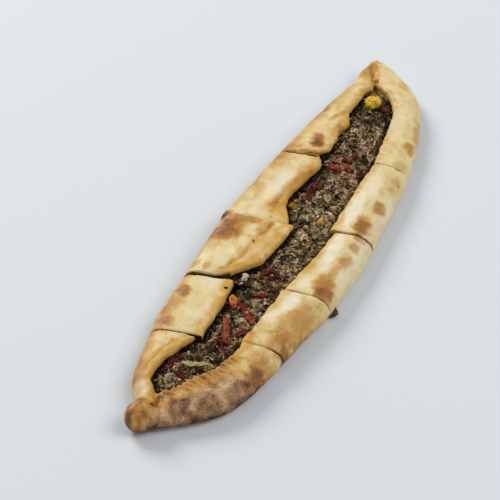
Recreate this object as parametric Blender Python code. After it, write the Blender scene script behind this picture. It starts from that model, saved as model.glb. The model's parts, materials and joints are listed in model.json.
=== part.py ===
"""Spinach fatayer: a long boat of baked dough, pinched to a tip at one end and twisted to a knob.

Its two rims are folded in over a dark filling of chopped spinach and minced meat, and a knife has cut
it across into five slices that still lie together. Strips of red pepper, two kinds of cheese and
onion lie half sunk in the filling.

X runs along the bread from the knob (-X) to the tip (+X), Y across it from the near rim (-Y) to the
far flaps (+Y), and Z up from the flat underside. Sizes are written in millimetres and turned into
metres by MM.

A knife cut leans a little, so outlines are given against a station s along the bread instead of
against x: the cross-section at station s is the upright plane x = s - slant(s) * y, and the cuts are
four of those planes.
"""

import math

import bpy
import bmesh
import numpy as np
from mathutils import Vector, noise

MM = 0.001

# The middle of the drawn outline, which moves to the origin.
CENTRE = (-1.5, -0.1)

# Stations of the two ends, of the opening's ends, and of the four knife cuts.
TIP_STATION = 175.0
KNOB_STATION = -169.0
OPENING_STATIONS = (-152.0, 149.0)
CUT_STATIONS = (64.1, -4.6, -60.1, -106.5)
CUT_GAP = 0.8
FILLING_CUT_GAP = 0.5
STATION_STEP = 4.6

# How far a cut leans, as x per y, along the bread.
KNIFE_SLANT = (
    (-169, 0.05), (-107, 0.17), (-60, 0.13), (-5, 0.18), (64, 0.18), (130, 0.0), (175, 0.0),
)

# Outlines as (station, y). The edges are the bread's widest lines, the lips bound the opening.
NEAR_EDGE = (
    (-169, 8.4), (-164, 0.5), (-158, -9.6), (-150, -19.0), (-137, -26.8), (-107, -33.6), (-83, -37.4),
    (-57, -42.0), (-15, -45.0), (13, -43.0), (55, -40.6), (80, -37.0), (105, -32.6), (131, -25.8),
    (146, -19.0), (157, -10.5), (166, 1.2), (172, 10.5), (175, 15.5),
)
FAR_EDGE = (
    (-169, 20.5), (-161, 21.9), (-152, 27.2), (-137, 33.4), (-110, 37.6), (-83, 42.1), (-56, 41.0),
    (-30, 42.4), (-6, 42.2), (1, 45.0), (9, 43.2), (44, 39.8), (74, 36.8), (114, 31.0), (142, 26.0),
    (158, 24.0), (168, 23.2), (173, 21.8), (175, 19.5),
)

# The crest of each rim above the floor, as (station, z).
NEAR_TOP = (
    (-169, 11.0), (-160, 12.5), (-148, 14.0), (-120, 15.3), (0, 15.6), (110, 15.2), (165, 14.6),
    (175, 12.0),
)
FAR_TOP = (
    (-169, 11.0), (-160, 12.0), (-148, 13.2), (-111, 14.2), (0, 14.8), (110, 14.0), (165, 14.2),
    (175, 12.0),
)
UNDERSIDE = ((-169, 1.4), (-150, 0.0), (0, 0.0), (140, 0.0), (162, 1.0), (175, 4.0))

# Each slice, from the tip to the knob: its lips, and how far its near rim and far flap stand above
# the crests.
SLICES = (
    {
        "near_lip": (
            (64, -19.0), (85, -16.5), (117, -12.5), (130, -7.5), (138, -1.5), (143, 6.0), (149, 12.0),
            (175, 18.0),
        ),
        "far_lip": (
            (64, 12.5), (72, 9.6), (84, 10.6), (94, 12.4), (102, 10.8), (111, 13.4), (136, 12.6),
            (149, 13.2), (175, 19.0),
        ),
        "near_lift": 0.0,
        "far_lift": 0.3,
    },
    {
        "near_lip": ((-5, -20.6), (29, -19.5), (64, -18.2)),
        "far_lip": (
            (-5, 4.0), (6, 8.5), (14, 12.5), (23, 13.3), (34, 11.5), (48, 9.4), (56, 7.6), (64, 11.0),
        ),
        "near_lift": 0.5,
        "far_lift": 0.7,
    },
    {
        "near_lip": ((-60, -17.2), (-35, -20.5), (-14, -22.5), (-5, -23.5)),
        "far_lip": (
            (-60, 24.5), (-57.5, 17.5), (-53, 11.5), (-47, 7.2), (-39, 3.8), (-29, 2.4), (-10, 0.6),
            (-5, 0.8),
        ),
        "near_lift": 0.0,
        "far_lift": 2.2,
    },
    {
        "near_lip": ((-107, -11.8), (-103, -12.0), (-82, -15.5), (-60, -16.3)),
        "far_lip": ((-107, 9.8), (-86, 10.5), (-60, 11.8)),
        "near_lift": 0.6,
        "far_lift": 0.0,
    },
    {
        "near_lip": (
            (-169, 12.5), (-152, 11.5), (-147, 5.5), (-141, 1.0), (-134, -4.5), (-125, -9.3),
            (-107, -11.7),
        ),
        "far_lip": (
            (-169, 15.5), (-152, 15.0), (-146, 19.4), (-139, 21.6), (-131, 21.0), (-123, 18.2),
            (-107, 12.2),
        ),
        "near_lift": 0.0,
        "far_lift": 0.4,
    },
)

# Rims: the widest line's height as a share of the crest's, how far in from the edge the top and the
# underside round over, the crown of the flat on top, and the lip's fall.
WIDEST_SHARE = 0.36
NEAR_ROLL = 14.0
FAR_ROLL = 8.5
TUCK = 8.0
TUCK_SHARE = 0.36
FLAT_CROWN = 0.2
LIP_FALL = 0.5
LEAST_RIM = 1.2

# Where the rims are pinched together: half the seam's width and its depth.
SEAM_HALF = 1.9
SEAM_DEPTH = 2.2

# The rise of the dough's lumps, and their size along and across the bread.
LUMP_HEIGHT = 0.55
LUMP_SIZE = (17.0, 12.0)

# The dough's thickness in the flaps, the side walls and the floor.
FLAP_THICKNESS = 4.8
WALL_THICKNESS = 6.5
FLOOR_THICKNESS = 3.4

# The pocket: its height at its sides, its corners, how far it shrinks towards the opening's ends and
# how much its floor rises there, and the least depth under a flap.
POCKET_SIDE_HEIGHT = 8.2
POCKET_CORNER = 3.0
POCKET_TAPER = 26.0
POCKET_END_RISE = 4.0
LEAST_DEPTH = 1.0

# The lip's edge: how far below the crest it ends and starts, its slope, and the height of the cutter.
LIP_OVERLAP = 2.4
LIP_LOWER = 0.9
LIP_UPPER = 1.6
LIP_SLOPE = 1.5
LIP_RISE = 0.7
OPEN_ABOVE = 24.0

# Filling: its clearance from the dough and from what is sunk in it, its crown and the size of its bumps.
CLEARANCE = 0.45
STRIP_CLEARANCE = 0.4
LUMP_CLEARANCE = 0.6
FILLING_CROWN = 1.4
BUMP_HEIGHT = 1.7
BUMP_SIZE = 5.5
ROLL_SIZE = (21.0, 15.0)
FULL_WIDTH = 12.0
OPEN_POINTS = 8

# The knob: centre and half axes, with the ridges of its twist.
KNOB_CENTRE = (-167.5, 15.3, 8.6)
KNOB_HALF = (10.6, 8.8, 7.6)
KNOB_RIDGES = 3
KNOB_RIDGE_HEIGHT = 0.09
KNOB_TWIST = 1.4

# A burnt drop of juice at the foot of the third slice, beside its cut.
DROP_SLICE = 2
DROP_CENTRE = (-50.6, -41.4, 2.3)
DROP_HALF = (3.0, 3.2, 2.2)

# Strips half sunk in the filling: name, material, width, thickness, height above the filling, and
# path in x and y.
STRIPS = (
    ("pepper_1", "pepper", 5.2, 2.8, 0.6, ((127.2, -1.7), (125.6, -5.0), (125.0, -8.5))),
    ("pepper_2", "pepper", 3.6, 2.2, 0.5, ((60.7, 5.5), (58.1, 0.9), (56.7, -3.7))),
    ("pepper_3", "pepper", 3.0, 2.0, 0.5, ((57.9, -7.2), (60.2, -5.6), (62.4, -3.9))),
    ("pepper_4", "pepper", 4.6, 2.4, 0.4, ((42.5, 6.3), (35.8, 6.1), (29.0, 5.1), (23.0, 4.7))),
    ("pepper_5", "dark_pepper", 2.6, 2.2, 0.8, (
        (-52.0, 0.3), (-47.5, 0.3), (-44.4, -2.3), (-45.3, -5.7), (-48.5, -8.7),
    )),
    ("pepper_6", "pepper", 2.6, 2.0, 0.5, ((-66.1, -0.7), (-64.3, -4.1), (-62.9, -7.9))),
    ("pepper_7", "orange_pepper", 5.0, 2.8, 0.7, ((-69.5, 9.6), (-74.2, 6.9), (-79.5, 3.8))),
    ("pepper_8", "pepper", 4.4, 2.6, 0.8, ((-74.3, 2.6), (-78.7, -1.8), (-83.0, -5.8), (-87.1, -9.7))),
    ("pepper_9", "pepper", 4.0, 2.4, 0.6, ((-88.0, 5.9), (-92.5, 3.0), (-98.4, 0.4), (-104.1, -0.9))),
    ("pepper_10", "pepper", 3.6, 2.4, 0.6, ((-91.5, -9.9), (-96.0, -7.7), (-100.1, -5.3))),
    ("pepper_11", "dark_pepper", 3.2, 2.2, 0.5, (
        (-137.0, 18.9), (-131.5, 17.5), (-126.5, 15.9), (-121.0, 13.9),
    )),
    ("pepper_12", "dark_pepper", 3.2, 2.0, 0.4, ((-134.9, 11.5), (-137.1, 8.5), (-138.7, 5.5))),
    ("onion_1", "onion", 3.4, 2.0, 0.7, ((-128.7, 11.9), (-128.3, 7.9), (-126.7, 3.3), (-124.1, -2.5))),
    ("onion_2", "red_onion", 4.4, 2.0, 0.2, ((80, -5.0), (83, -8.2), (84, -11.5))),
)

# How far apart a strip's sections are, how many points each has, and how much its ends narrow.
STRIP_STEP = 2.6
STRIP_SIDES = 8
STRIP_NARROWING = 0.72

# Lumps half sunk in the filling: name, material, half axes, height above the filling, place in x and y.
LUMPS = (
    ("cheese_1", "yellow_cheese", (5.6, 4.8, 3.0), 1.4, (128.2, 4.2)),
    ("cheese_2", "yellow_cheese", (2.4, 2.2, 1.7), 0.5, (14.2, 10.0)),
    ("cheese_3", "yellow_cheese", (2.6, 1.9, 1.6), 0.5, (6.0, -10.6)),
    ("cheese_4", "white_cheese", (2.3, 1.9, 1.9), 1.0, (-55.9, 8.4)),
)

LUMP_RELIEF = 0.28

# Each material's colour and roughness.
COLOURS = {
    "dough": ((0.76, 0.56, 0.31), 0.62),
    "filling": ((0.060, 0.052, 0.034), 0.45),
    "pepper": ((0.42, 0.045, 0.030), 0.32),
    "dark_pepper": ((0.20, 0.022, 0.020), 0.34),
    "orange_pepper": ((0.62, 0.15, 0.030), 0.32),
    "onion": ((0.60, 0.52, 0.24), 0.38),
    "red_onion": ((0.30, 0.14, 0.15), 0.38),
    "yellow_cheese": ((0.72, 0.46, 0.075), 0.42),
    "white_cheese": ((0.74, 0.68, 0.50), 0.50),
}


def smooth_curve(points):
    """A curve through points as a function: a cubic in each span, with slopes that never overshoot."""
    xs = np.array([p[0] for p in points], float)
    ys = np.array([p[1] for p in points], float)
    steps = np.diff(xs)
    rises = np.diff(ys) / steps
    slopes = np.empty_like(ys)
    slopes[0] = rises[0]
    slopes[-1] = rises[-1]
    for i in range(1, len(xs) - 1):
        if rises[i - 1] * rises[i] <= 0:
            slopes[i] = 0.0
        else:
            slopes[i] = 2 * rises[i - 1] * rises[i] / (rises[i - 1] + rises[i])

    def curve(x):
        x = min(max(x, xs[0]), xs[-1])
        i = min(max(int(np.searchsorted(xs, x)) - 1, 0), len(steps) - 1)
        t = (x - xs[i]) / steps[i]
        straight = ys[i] + (ys[i + 1] - ys[i]) * t * t * (3 - 2 * t)
        bend = slopes[i] * t * (1 - t) ** 2 + slopes[i + 1] * t * t * (t - 1)
        return float(straight + steps[i] * bend)

    return curve


slant = smooth_curve(KNIFE_SLANT)
near_edge = smooth_curve(NEAR_EDGE)
far_edge = smooth_curve(FAR_EDGE)
near_top = smooth_curve(NEAR_TOP)
far_top = smooth_curve(FAR_TOP)
underside = smooth_curve(UNDERSIDE)
near_lips = [smooth_curve(part["near_lip"]) for part in SLICES]
far_lips = [smooth_curve(part["far_lip"]) for part in SLICES]


def blend(a, b, t):
    return a + (b - a) * t


def smooth_step(t):
    t = min(max(t, 0.0), 1.0)
    return t * t * (3 - 2 * t)


def metres(x, y, z):
    """A drawn place in metres, with the model's box centred on the origin."""
    return Vector((x - CENTRE[0], y - CENTRE[1], z)) * MM


def place(station, y, z):
    """The point at height z on the cross-section of a station, in metres."""
    return metres(station - slant(station) * y, y, z)


def dough_lump(station, y):
    """The uneven rise of the baked dough, in millimetres."""
    return LUMP_HEIGHT * noise.noise(Vector((station / LUMP_SIZE[0], y / LUMP_SIZE[1], 3.7)))


def filling_bump(station, y):
    """The bumps of chopped leaf and mince on the filling, in millimetres."""
    fine = noise.noise(Vector((station / BUMP_SIZE, y / BUMP_SIZE, 8.1)))
    coarse = noise.noise(Vector((station / ROLL_SIZE[0], y / ROLL_SIZE[1], 1.3)))
    return BUMP_HEIGHT * (fine + 0.5 * coarse)


def stations_between(start, end, bunch=0.0):
    """Evenly spaced stations, or bunched towards the end by a share of the mean step."""
    count = math.ceil(abs(end - start) / STATION_STEP)
    shares = [i / count for i in range(count + 1)]
    return [start + (end - start) * u * (1 + bunch * (1 - u)) for u in shares]


def slice_stations(index, ends):
    """The stations of a slice from its -X end to its +X end, bunched towards an end that tapers."""
    low, high = ends
    if index == 0:
        return stations_between(CUT_STATIONS[0], high, 0.35)
    if index == len(SLICES) - 1:
        return stations_between(CUT_STATIONS[-1], low, 0.35)[::-1]
    return stations_between(CUT_STATIONS[index], CUT_STATIONS[index - 1])


def crust_stations(index):
    """The stations of a slice's dough, with half the knife's gap at each cut."""
    stations = slice_stations(index, (KNOB_STATION, TIP_STATION))
    if index > 0:
        stations[-1] -= CUT_GAP / 2
    if index < len(SLICES) - 1:
        stations[0] += CUT_GAP / 2
    return stations


def pocket_stations(index):
    """The stations of a slice's pocket, which runs out through each cut."""
    stations = slice_stations(index, OPENING_STATIONS)
    if index > 0:
        stations.append(stations[-1] + CUT_GAP)
    if index < len(SLICES) - 1:
        stations.insert(0, stations[0] - CUT_GAP)
    return stations


def filling_stations(index):
    """The stations of a slice's filling, which stops short of the cuts and of the opening's ends."""
    stations = slice_stations(index, OPENING_STATIONS)
    if index > 0:
        stations[-1] -= FILLING_CUT_GAP / 2
    else:
        stations.pop()
    if index < len(SLICES) - 1:
        stations[0] += FILLING_CUT_GAP / 2
    else:
        stations.pop(0)
    return stations


def rim_profile(edge, inner, top, base, roll, tuck, lump):
    """One rim's outline from the flat underside round the edge to its inner lip, as (y, z) points."""
    inward = 1 if inner > edge else -1
    roll = min(roll, 0.8 * abs(inner - edge))
    widest = blend(base, top, WIDEST_SHARE)
    points = []
    for angle in (90, 58, 28, 0):
        turn = math.radians(angle)
        y = edge + inward * tuck * (1 - math.cos(turn))
        points.append((y, widest - (widest - base) * math.sin(turn)))
    for angle in (24, 47, 69, 90):
        turn = math.radians(angle)
        y = edge + inward * roll * (1 - math.cos(turn))
        points.append((y, widest + (top - widest) * math.sin(turn) + lump(y) * math.sin(turn)))
    middle = blend(points[-1][0], inner, 0.55)
    points.append((middle, top + FLAT_CROWN + lump(middle)))
    points.append((inner, top - LIP_FALL))
    return points


def crest_heights(index, station):
    """The heights of the near rim and the far flap at a station of a slice."""
    near_height = near_top(station) + SLICES[index]["near_lift"]
    far_height = far_top(station) + SLICES[index]["far_lift"]
    return near_height, far_height


def outer_section(index, station):
    """The bread's outline at a station, before the pocket is taken out, as a ring of (y, z) points."""
    near, far = near_edge(station), far_edge(station)
    near_lip, far_lip = near_lips[index](station), far_lips[index](station)
    middle = (near_lip + far_lip) / 2
    reach = max(SEAM_HALF, (far_lip - near_lip) / 2 - LIP_OVERLAP)
    base = underside(station)
    tuck = min(TUCK, TUCK_SHARE * (far - near))
    near_height, far_height = crest_heights(index, station)

    def lump(y):
        return dough_lump(station, y)

    near_inner = max(middle - reach, near + LEAST_RIM)
    far_inner = min(middle + reach, far - LEAST_RIM)
    middle = (near_inner + far_inner) / 2
    ring = rim_profile(near, near_inner, near_height, base, NEAR_ROLL, tuck, lump)
    ring.append((middle, min(near_height, far_height) - SEAM_DEPTH))
    ring.extend(reversed(rim_profile(far, far_inner, far_height, base, FAR_ROLL, tuck, lump)))
    return ring


def pocket_depths(index, station):
    """How far the pocket runs in under the two flaps, and how full it is towards the opening's ends."""
    low, high = OPENING_STATIONS
    inside = smooth_step(min(station - low, high - station) / POCKET_TAPER)
    near_full = near_lips[index](station) - near_edge(station) - WALL_THICKNESS
    far_full = far_edge(station) - far_lips[index](station) - WALL_THICKNESS
    near_depth = blend(LEAST_DEPTH, max(near_full, LEAST_DEPTH), inside)
    far_depth = blend(LEAST_DEPTH, max(far_full, LEAST_DEPTH), inside)
    return near_depth, far_depth, inside


def pocket_side(lip, depth, outward, floor, side_top, lip_top, inset):
    """One side of the pocket, from its floor to the lip's lower edge and inset by a clearance."""
    side = lip + outward * depth
    corner = min(POCKET_CORNER, 0.5 * depth)
    return [
        (side - outward * (corner + inset), floor + inset),
        (side - outward * inset, blend(floor, side_top, 0.45)),
        (side - outward * (0.7 * corner + inset), side_top - inset),
        (lip + outward * (min(LIP_LOWER, 0.5 * depth) - inset), lip_top - FLAP_THICKNESS - inset),
    ]


def pocket_floor(station, inside):
    return FLOOR_THICKNESS + underside(station) + blend(POCKET_END_RISE, 0.0, inside)


def pocket_section(index, station):
    """The room for the filling and the opening above it, as a ring of (y, z) points."""
    near_depth, far_depth, inside = pocket_depths(index, station)
    floor = pocket_floor(station, inside)
    sides = []
    for lip, depth, outward, top in (
        (near_lips[index](station), near_depth, -1, crest_heights(index, station)[0]),
        (far_lips[index](station), far_depth, 1, crest_heights(index, station)[1]),
    ):
        side_top = blend(top - FLAP_THICKNESS - 0.4, POCKET_SIDE_HEIGHT, inside)
        side = pocket_side(lip, depth, outward, floor, side_top, top, 0.0)
        side.append((lip, top - FLAP_THICKNESS + LIP_LOWER))
        side.append((lip, top - LIP_UPPER))
        side.append((lip + outward * LIP_SLOPE, top + LIP_RISE))
        side.append((lip + outward * (LIP_SLOPE + 0.5), OPEN_ABOVE))
        sides.append(side)
    return sides[0] + sides[1][::-1]


def heap_height(index, station, y):
    """The filling's upper surface in the opening."""
    near_lip, far_lip = near_lips[index](station), far_lips[index](station)
    near_height, far_height = crest_heights(index, station)
    share = min(max((y - near_lip) / max(far_lip - near_lip, 0.1), 0.0), 1.0)
    level = blend(near_height, far_height, share) - FLAP_THICKNESS
    width = min((far_lip - near_lip) / FULL_WIDTH, 1.0)
    crown = 1 - (2 * share - 1) ** 4
    return level + crown * width * (FILLING_CROWN + filling_bump(station, y))


def filling_section(index, station):
    """The filling's outline at a station, clear of the dough all round, as a ring of (y, z) points."""
    near_depth, far_depth, inside = pocket_depths(index, station)
    near_lip, far_lip = near_lips[index](station), far_lips[index](station)
    floor = pocket_floor(station, inside)
    step = min(0.9, 0.25 * (far_lip - near_lip))
    sides = []
    for lip, depth, outward, top in (
        (near_lip, near_depth, -1, crest_heights(index, station)[0]),
        (far_lip, far_depth, 1, crest_heights(index, station)[1]),
    ):
        side_top = blend(top - FLAP_THICKNESS - 0.4, POCKET_SIDE_HEIGHT, inside)
        side = pocket_side(lip, depth, outward, floor, side_top, top, CLEARANCE)
        side.append((lip - outward * step, top - FLAP_THICKNESS - CLEARANCE / 2))
        sides.append(side)
    opening = []
    for i in range(1, OPEN_POINTS + 1):
        y = blend(near_lip + step, far_lip - step, i / (OPEN_POINTS + 1))
        opening.append((y, heap_height(index, station, y)))
    return sides[0] + opening + sides[1][::-1]


def slice_at(x, y):
    """The slice and the station of a place on the bread."""
    station = x
    for _ in range(6):
        station = x + slant(station) * y
    index = sum(1 for cut in CUT_STATIONS if station < cut)
    return index, station


def filling_height(x, y):
    """The filling's upper surface at a place on the bread."""
    index, station = slice_at(x, y)
    return heap_height(index, station, y)


def mesh_object(name, mesh, collection):
    """A smooth-shaded object that holds a mesh, in a collection."""
    item = bpy.data.objects.new(name, mesh)
    collection.objects.link(item)
    mesh.shade_smooth()
    mesh.set_sharp_from_angle(angle=math.radians(50))
    return item


def loft(name, rings, collection):
    """A closed solid through rings of points that have the same number of points each."""
    shape = bmesh.new()
    rows = [[shape.verts.new(point) for point in ring] for ring in rings]
    count = len(rows[0])
    for low, high in zip(rows, rows[1:]):
        for i in range(count):
            j = (i + 1) % count
            shape.faces.new((low[i], low[j], high[j], high[i]))
    shape.faces.new(rows[0])
    shape.faces.new(reversed(rows[-1]))
    bmesh.ops.recalc_face_normals(shape, faces=shape.faces)
    bmesh.ops.triangulate(shape, faces=[face for face in shape.faces if len(face.verts) > 4])
    mesh = bpy.data.meshes.new(name)
    shape.to_mesh(mesh)
    shape.free()
    return mesh_object(name, mesh, collection)


def section_loft(name, index, stations, section, collection):
    """A slice's solid through its cross-sections."""
    rings = [[place(station, y, z) for y, z in section(index, station)] for station in stations]
    return loft(name, rings, collection)


def boolean(item, tool, operation):
    """Join another object to this one, or cut it out of it."""
    change = item.modifiers.new(operation.lower(), "BOOLEAN")
    change.operation = operation
    change.solver = "EXACT"
    if isinstance(tool, bpy.types.Collection):
        change.operand_type = "COLLECTION"
        change.collection = tool
    else:
        change.object = tool


def as_tool(item):
    """Hide an object that only shapes another one."""
    item.hide_render = True
    item.display_type = "WIRE"
    return item


def ellipsoid(name, centre, half_axes, collection, rings=(18, 10), relief=None):
    """A ball stretched to its half axes; relief gives each direction's radius as a factor."""
    shape = bmesh.new()
    bmesh.ops.create_uvsphere(shape, u_segments=rings[0], v_segments=rings[1], radius=1.0)
    for vert in shape.verts:
        factor = relief(vert.co) if relief else 1.0
        vert.co = metres(*(a + b * c * factor for a, b, c in zip(centre, vert.co, half_axes)))
    mesh = bpy.data.meshes.new(name)
    shape.to_mesh(mesh)
    shape.free()
    return mesh_object(name, mesh, collection)


def knob_relief(direction):
    """The ridges that the twist leaves along the knob."""
    round_axis = math.atan2(direction.z, direction.y) + KNOB_TWIST * direction.x
    return 1 + KNOB_RIDGE_HEIGHT * math.cos(KNOB_RIDGES * round_axis) * (1 - direction.x ** 2)


def strip(name, path, width, thickness, above, grow, collection):
    """A flat strip along a curved path that follows the filling, rounded at its ends and edges."""
    count = len(path) - 1
    run_x = smooth_curve([(i, point[0]) for i, point in enumerate(path)])
    run_y = smooth_curve([(i, point[1]) for i, point in enumerate(path)])
    length = sum(math.dist(a, b) for a, b in zip(path, path[1:]))
    steps = max(5, math.ceil(length / STRIP_STEP))
    turns = [count * i / steps for i in range(steps + 1)]
    centres = [Vector((run_x(turn), run_y(turn), 0)) for turn in turns]
    rings = []
    for i, centre in enumerate(centres):
        ahead = (centres[min(i + 1, steps)] - centres[max(i - 1, 0)]).normalized()
        across = Vector((-ahead.y, ahead.x, 0))
        share = 2 * i / steps - 1
        taper = math.sqrt(1 - STRIP_NARROWING * abs(share) ** 3.5)
        stretch = ahead * grow * share ** 5
        height = filling_height(centre.x, centre.y) + above
        ring = []
        for k in range(STRIP_SIDES):
            turn = math.tau * (k + 0.5) / STRIP_SIDES
            half_width = width / 2 * taper + grow
            half_height = thickness / 2 * taper + grow
            offset = across * half_width * math.cos(turn)
            rise = Vector((0, 0, height + half_height * math.sin(turn)))
            ring.append(metres(*(centre + stretch + offset + rise)))
        rings.append(ring)
    return loft(name, rings, collection)


def lump(name, half_axes, above, spot, grow, collection):
    """An uneven lump of cheese half sunk in the filling."""
    centre = (spot[0], spot[1], filling_height(*spot) + above)
    seed = Vector((spot[0], spot[1], 0.5))

    def relief(direction):
        return 1 + LUMP_RELIEF * noise.noise(direction * 1.9 + seed)

    grown = [half + grow for half in half_axes]
    return ellipsoid(name, centre, grown, collection, (12, 8), relief)


def finish(item, colour):
    """Give an object its material."""
    item.data.materials.clear()
    item.data.materials.append(MATERIALS[colour])


def make_material(name, colour, roughness):
    material = bpy.data.materials.new(name)
    material.use_nodes = True
    surface = material.node_tree.nodes["Principled BSDF"]
    surface.inputs["Base Color"].default_value = (*colour, 1.0)
    surface.inputs["Roughness"].default_value = roughness
    surface.inputs["Metallic"].default_value = 0.0
    material.diffuse_color = (*colour, 1.0)
    return material


def new_collection(name):
    collection = bpy.data.collections.new(name)
    bpy.context.scene.collection.children.link(collection)
    return collection


def build_crust(index):
    """One slice's dough: its outline less the pocket, with the knob or the burnt drop where it has one."""
    name = f"crust_{index + 1}"
    crust = section_loft(name, index, crust_stations(index), outer_section, PARTS)
    if index == len(SLICES) - 1:
        knob = ellipsoid("knob_form", KNOB_CENTRE, KNOB_HALF, TOOLS, relief=knob_relief)
        boolean(crust, as_tool(knob), "UNION")
    if index == DROP_SLICE:
        drop = ellipsoid("drop_form", DROP_CENTRE, DROP_HALF, TOOLS, (10, 6))
        boolean(crust, as_tool(drop), "UNION")
    pocket = section_loft(f"pocket_{index + 1}", index, pocket_stations(index), pocket_section, TOOLS)
    boolean(crust, as_tool(pocket), "DIFFERENCE")
    finish(crust, "dough")


def build_filling(index):
    """One slice's filling, with a bed for each piece that is sunk in it."""
    filling = section_loft(f"filling_{index + 1}", index, filling_stations(index), filling_section, PARTS)
    boolean(filling, BEDS, "DIFFERENCE")
    finish(filling, "filling")


def build_toppings():
    """The strips and lumps, and a slightly larger copy of each to make its bed."""
    for name, colour, width, thickness, above, path in STRIPS:
        finish(strip(name, path, width, thickness, above, 0.0, PARTS), colour)
        as_tool(strip(f"{name}_bed", path, width, thickness, above, STRIP_CLEARANCE, BEDS))
    for name, colour, half_axes, above, spot in LUMPS:
        finish(lump(name, half_axes, above, spot, 0.0, PARTS), colour)
        as_tool(lump(f"{name}_bed", half_axes, above, spot, LUMP_CLEARANCE, BEDS))


for old in list(bpy.data.objects):
    bpy.data.objects.remove(old, do_unlink=True)

PARTS = new_collection("spinach_fatayer")
TOOLS = new_collection("cutters")
BEDS = new_collection("beds")
MATERIALS = {name: make_material(name, colour, roughness) for name, (colour, roughness) in COLOURS.items()}

build_toppings()
for slice_index in range(len(SLICES)):
    build_crust(slice_index)
    build_filling(slice_index)
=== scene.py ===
"""A spinach fatayer as it looks: blistered dough, chopped spinach and mince, red pepper, onion and cheese.

Places and sizes are in millimetres in the frame's own axes, X along the bread from its knob to its
tip, Y from the near rim to the far flaps and Z up, and meshes are written in metres.
"""

import json
import math
import random

import bmesh
import bpy
import numpy as np
from mathutils import Euler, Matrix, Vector, noise
from mathutils.bvhtree import BVHTree
from mathutils.kdtree import KDTree


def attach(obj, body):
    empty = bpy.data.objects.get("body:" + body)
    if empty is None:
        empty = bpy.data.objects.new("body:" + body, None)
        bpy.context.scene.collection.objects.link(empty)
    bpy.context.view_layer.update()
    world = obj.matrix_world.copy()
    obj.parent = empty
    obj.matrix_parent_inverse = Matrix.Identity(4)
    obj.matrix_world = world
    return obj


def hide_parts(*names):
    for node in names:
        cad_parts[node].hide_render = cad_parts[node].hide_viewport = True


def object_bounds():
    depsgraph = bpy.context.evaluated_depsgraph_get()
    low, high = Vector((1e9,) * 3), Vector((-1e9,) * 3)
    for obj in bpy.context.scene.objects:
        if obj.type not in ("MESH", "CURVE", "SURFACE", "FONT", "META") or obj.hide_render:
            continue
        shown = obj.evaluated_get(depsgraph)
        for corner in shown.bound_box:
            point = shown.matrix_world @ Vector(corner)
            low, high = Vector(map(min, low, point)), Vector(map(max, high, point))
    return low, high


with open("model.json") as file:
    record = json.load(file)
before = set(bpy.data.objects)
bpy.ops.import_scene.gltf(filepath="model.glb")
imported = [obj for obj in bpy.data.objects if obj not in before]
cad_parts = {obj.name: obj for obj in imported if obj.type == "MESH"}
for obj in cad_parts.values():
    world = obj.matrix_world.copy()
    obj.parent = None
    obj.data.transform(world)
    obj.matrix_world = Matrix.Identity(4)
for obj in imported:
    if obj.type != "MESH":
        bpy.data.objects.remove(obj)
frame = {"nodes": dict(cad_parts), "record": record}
CAD_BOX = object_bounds()
MM = 0.001
SLICES = 5

# A node's corners are joined within this distance, and each pass evens out this share of its facets.
JOIN_WITHIN = 0.002
PASS_STRENGTH = 0.5

# The camera: its place, what it looks at, its lens and sensor in mm, and what it sees in metres.
CAMERA_PLACE = (-716.2, -289.7, 642.8)
CAMERA_AIM = (-16.6, 22.4, 0.0)
CAMERA_LENS = 126.5
CAMERA_SENSOR = 36
CAMERA_RANGE = (0.01, 20)

# The lamps: name, place, width in metres, power and colour. Then the room's light and the floor.
LAMPS = (
    ("window", (1.1, 2.2, 1.7), 1.5, 62.0, (1.0, 0.99, 0.97)),
    ("overhead", (0.4, -1.8, 2.2), 2.0, 38.0, (1.0, 1.0, 1.0)),
)
ROOM_COLOUR = (0.98, 0.99, 1.0, 1.0)
ROOM_STRENGTH = 0.36
FLOOR_COLOUR = (0.67, 0.707, 0.744, 1.0)
FLOOR_SIZE = 3.0

# The middle of the opening, which the two lips face.
OPENING_MIDDLE = (
    (-177, 14), (-151, 13.5), (-130, 7), (-105, 0), (-60, -4), (-20, -10), (20, -5), (60, -5), (100, 0),
    (130, 3), (150, 12.7), (177, 18),
)

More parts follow.
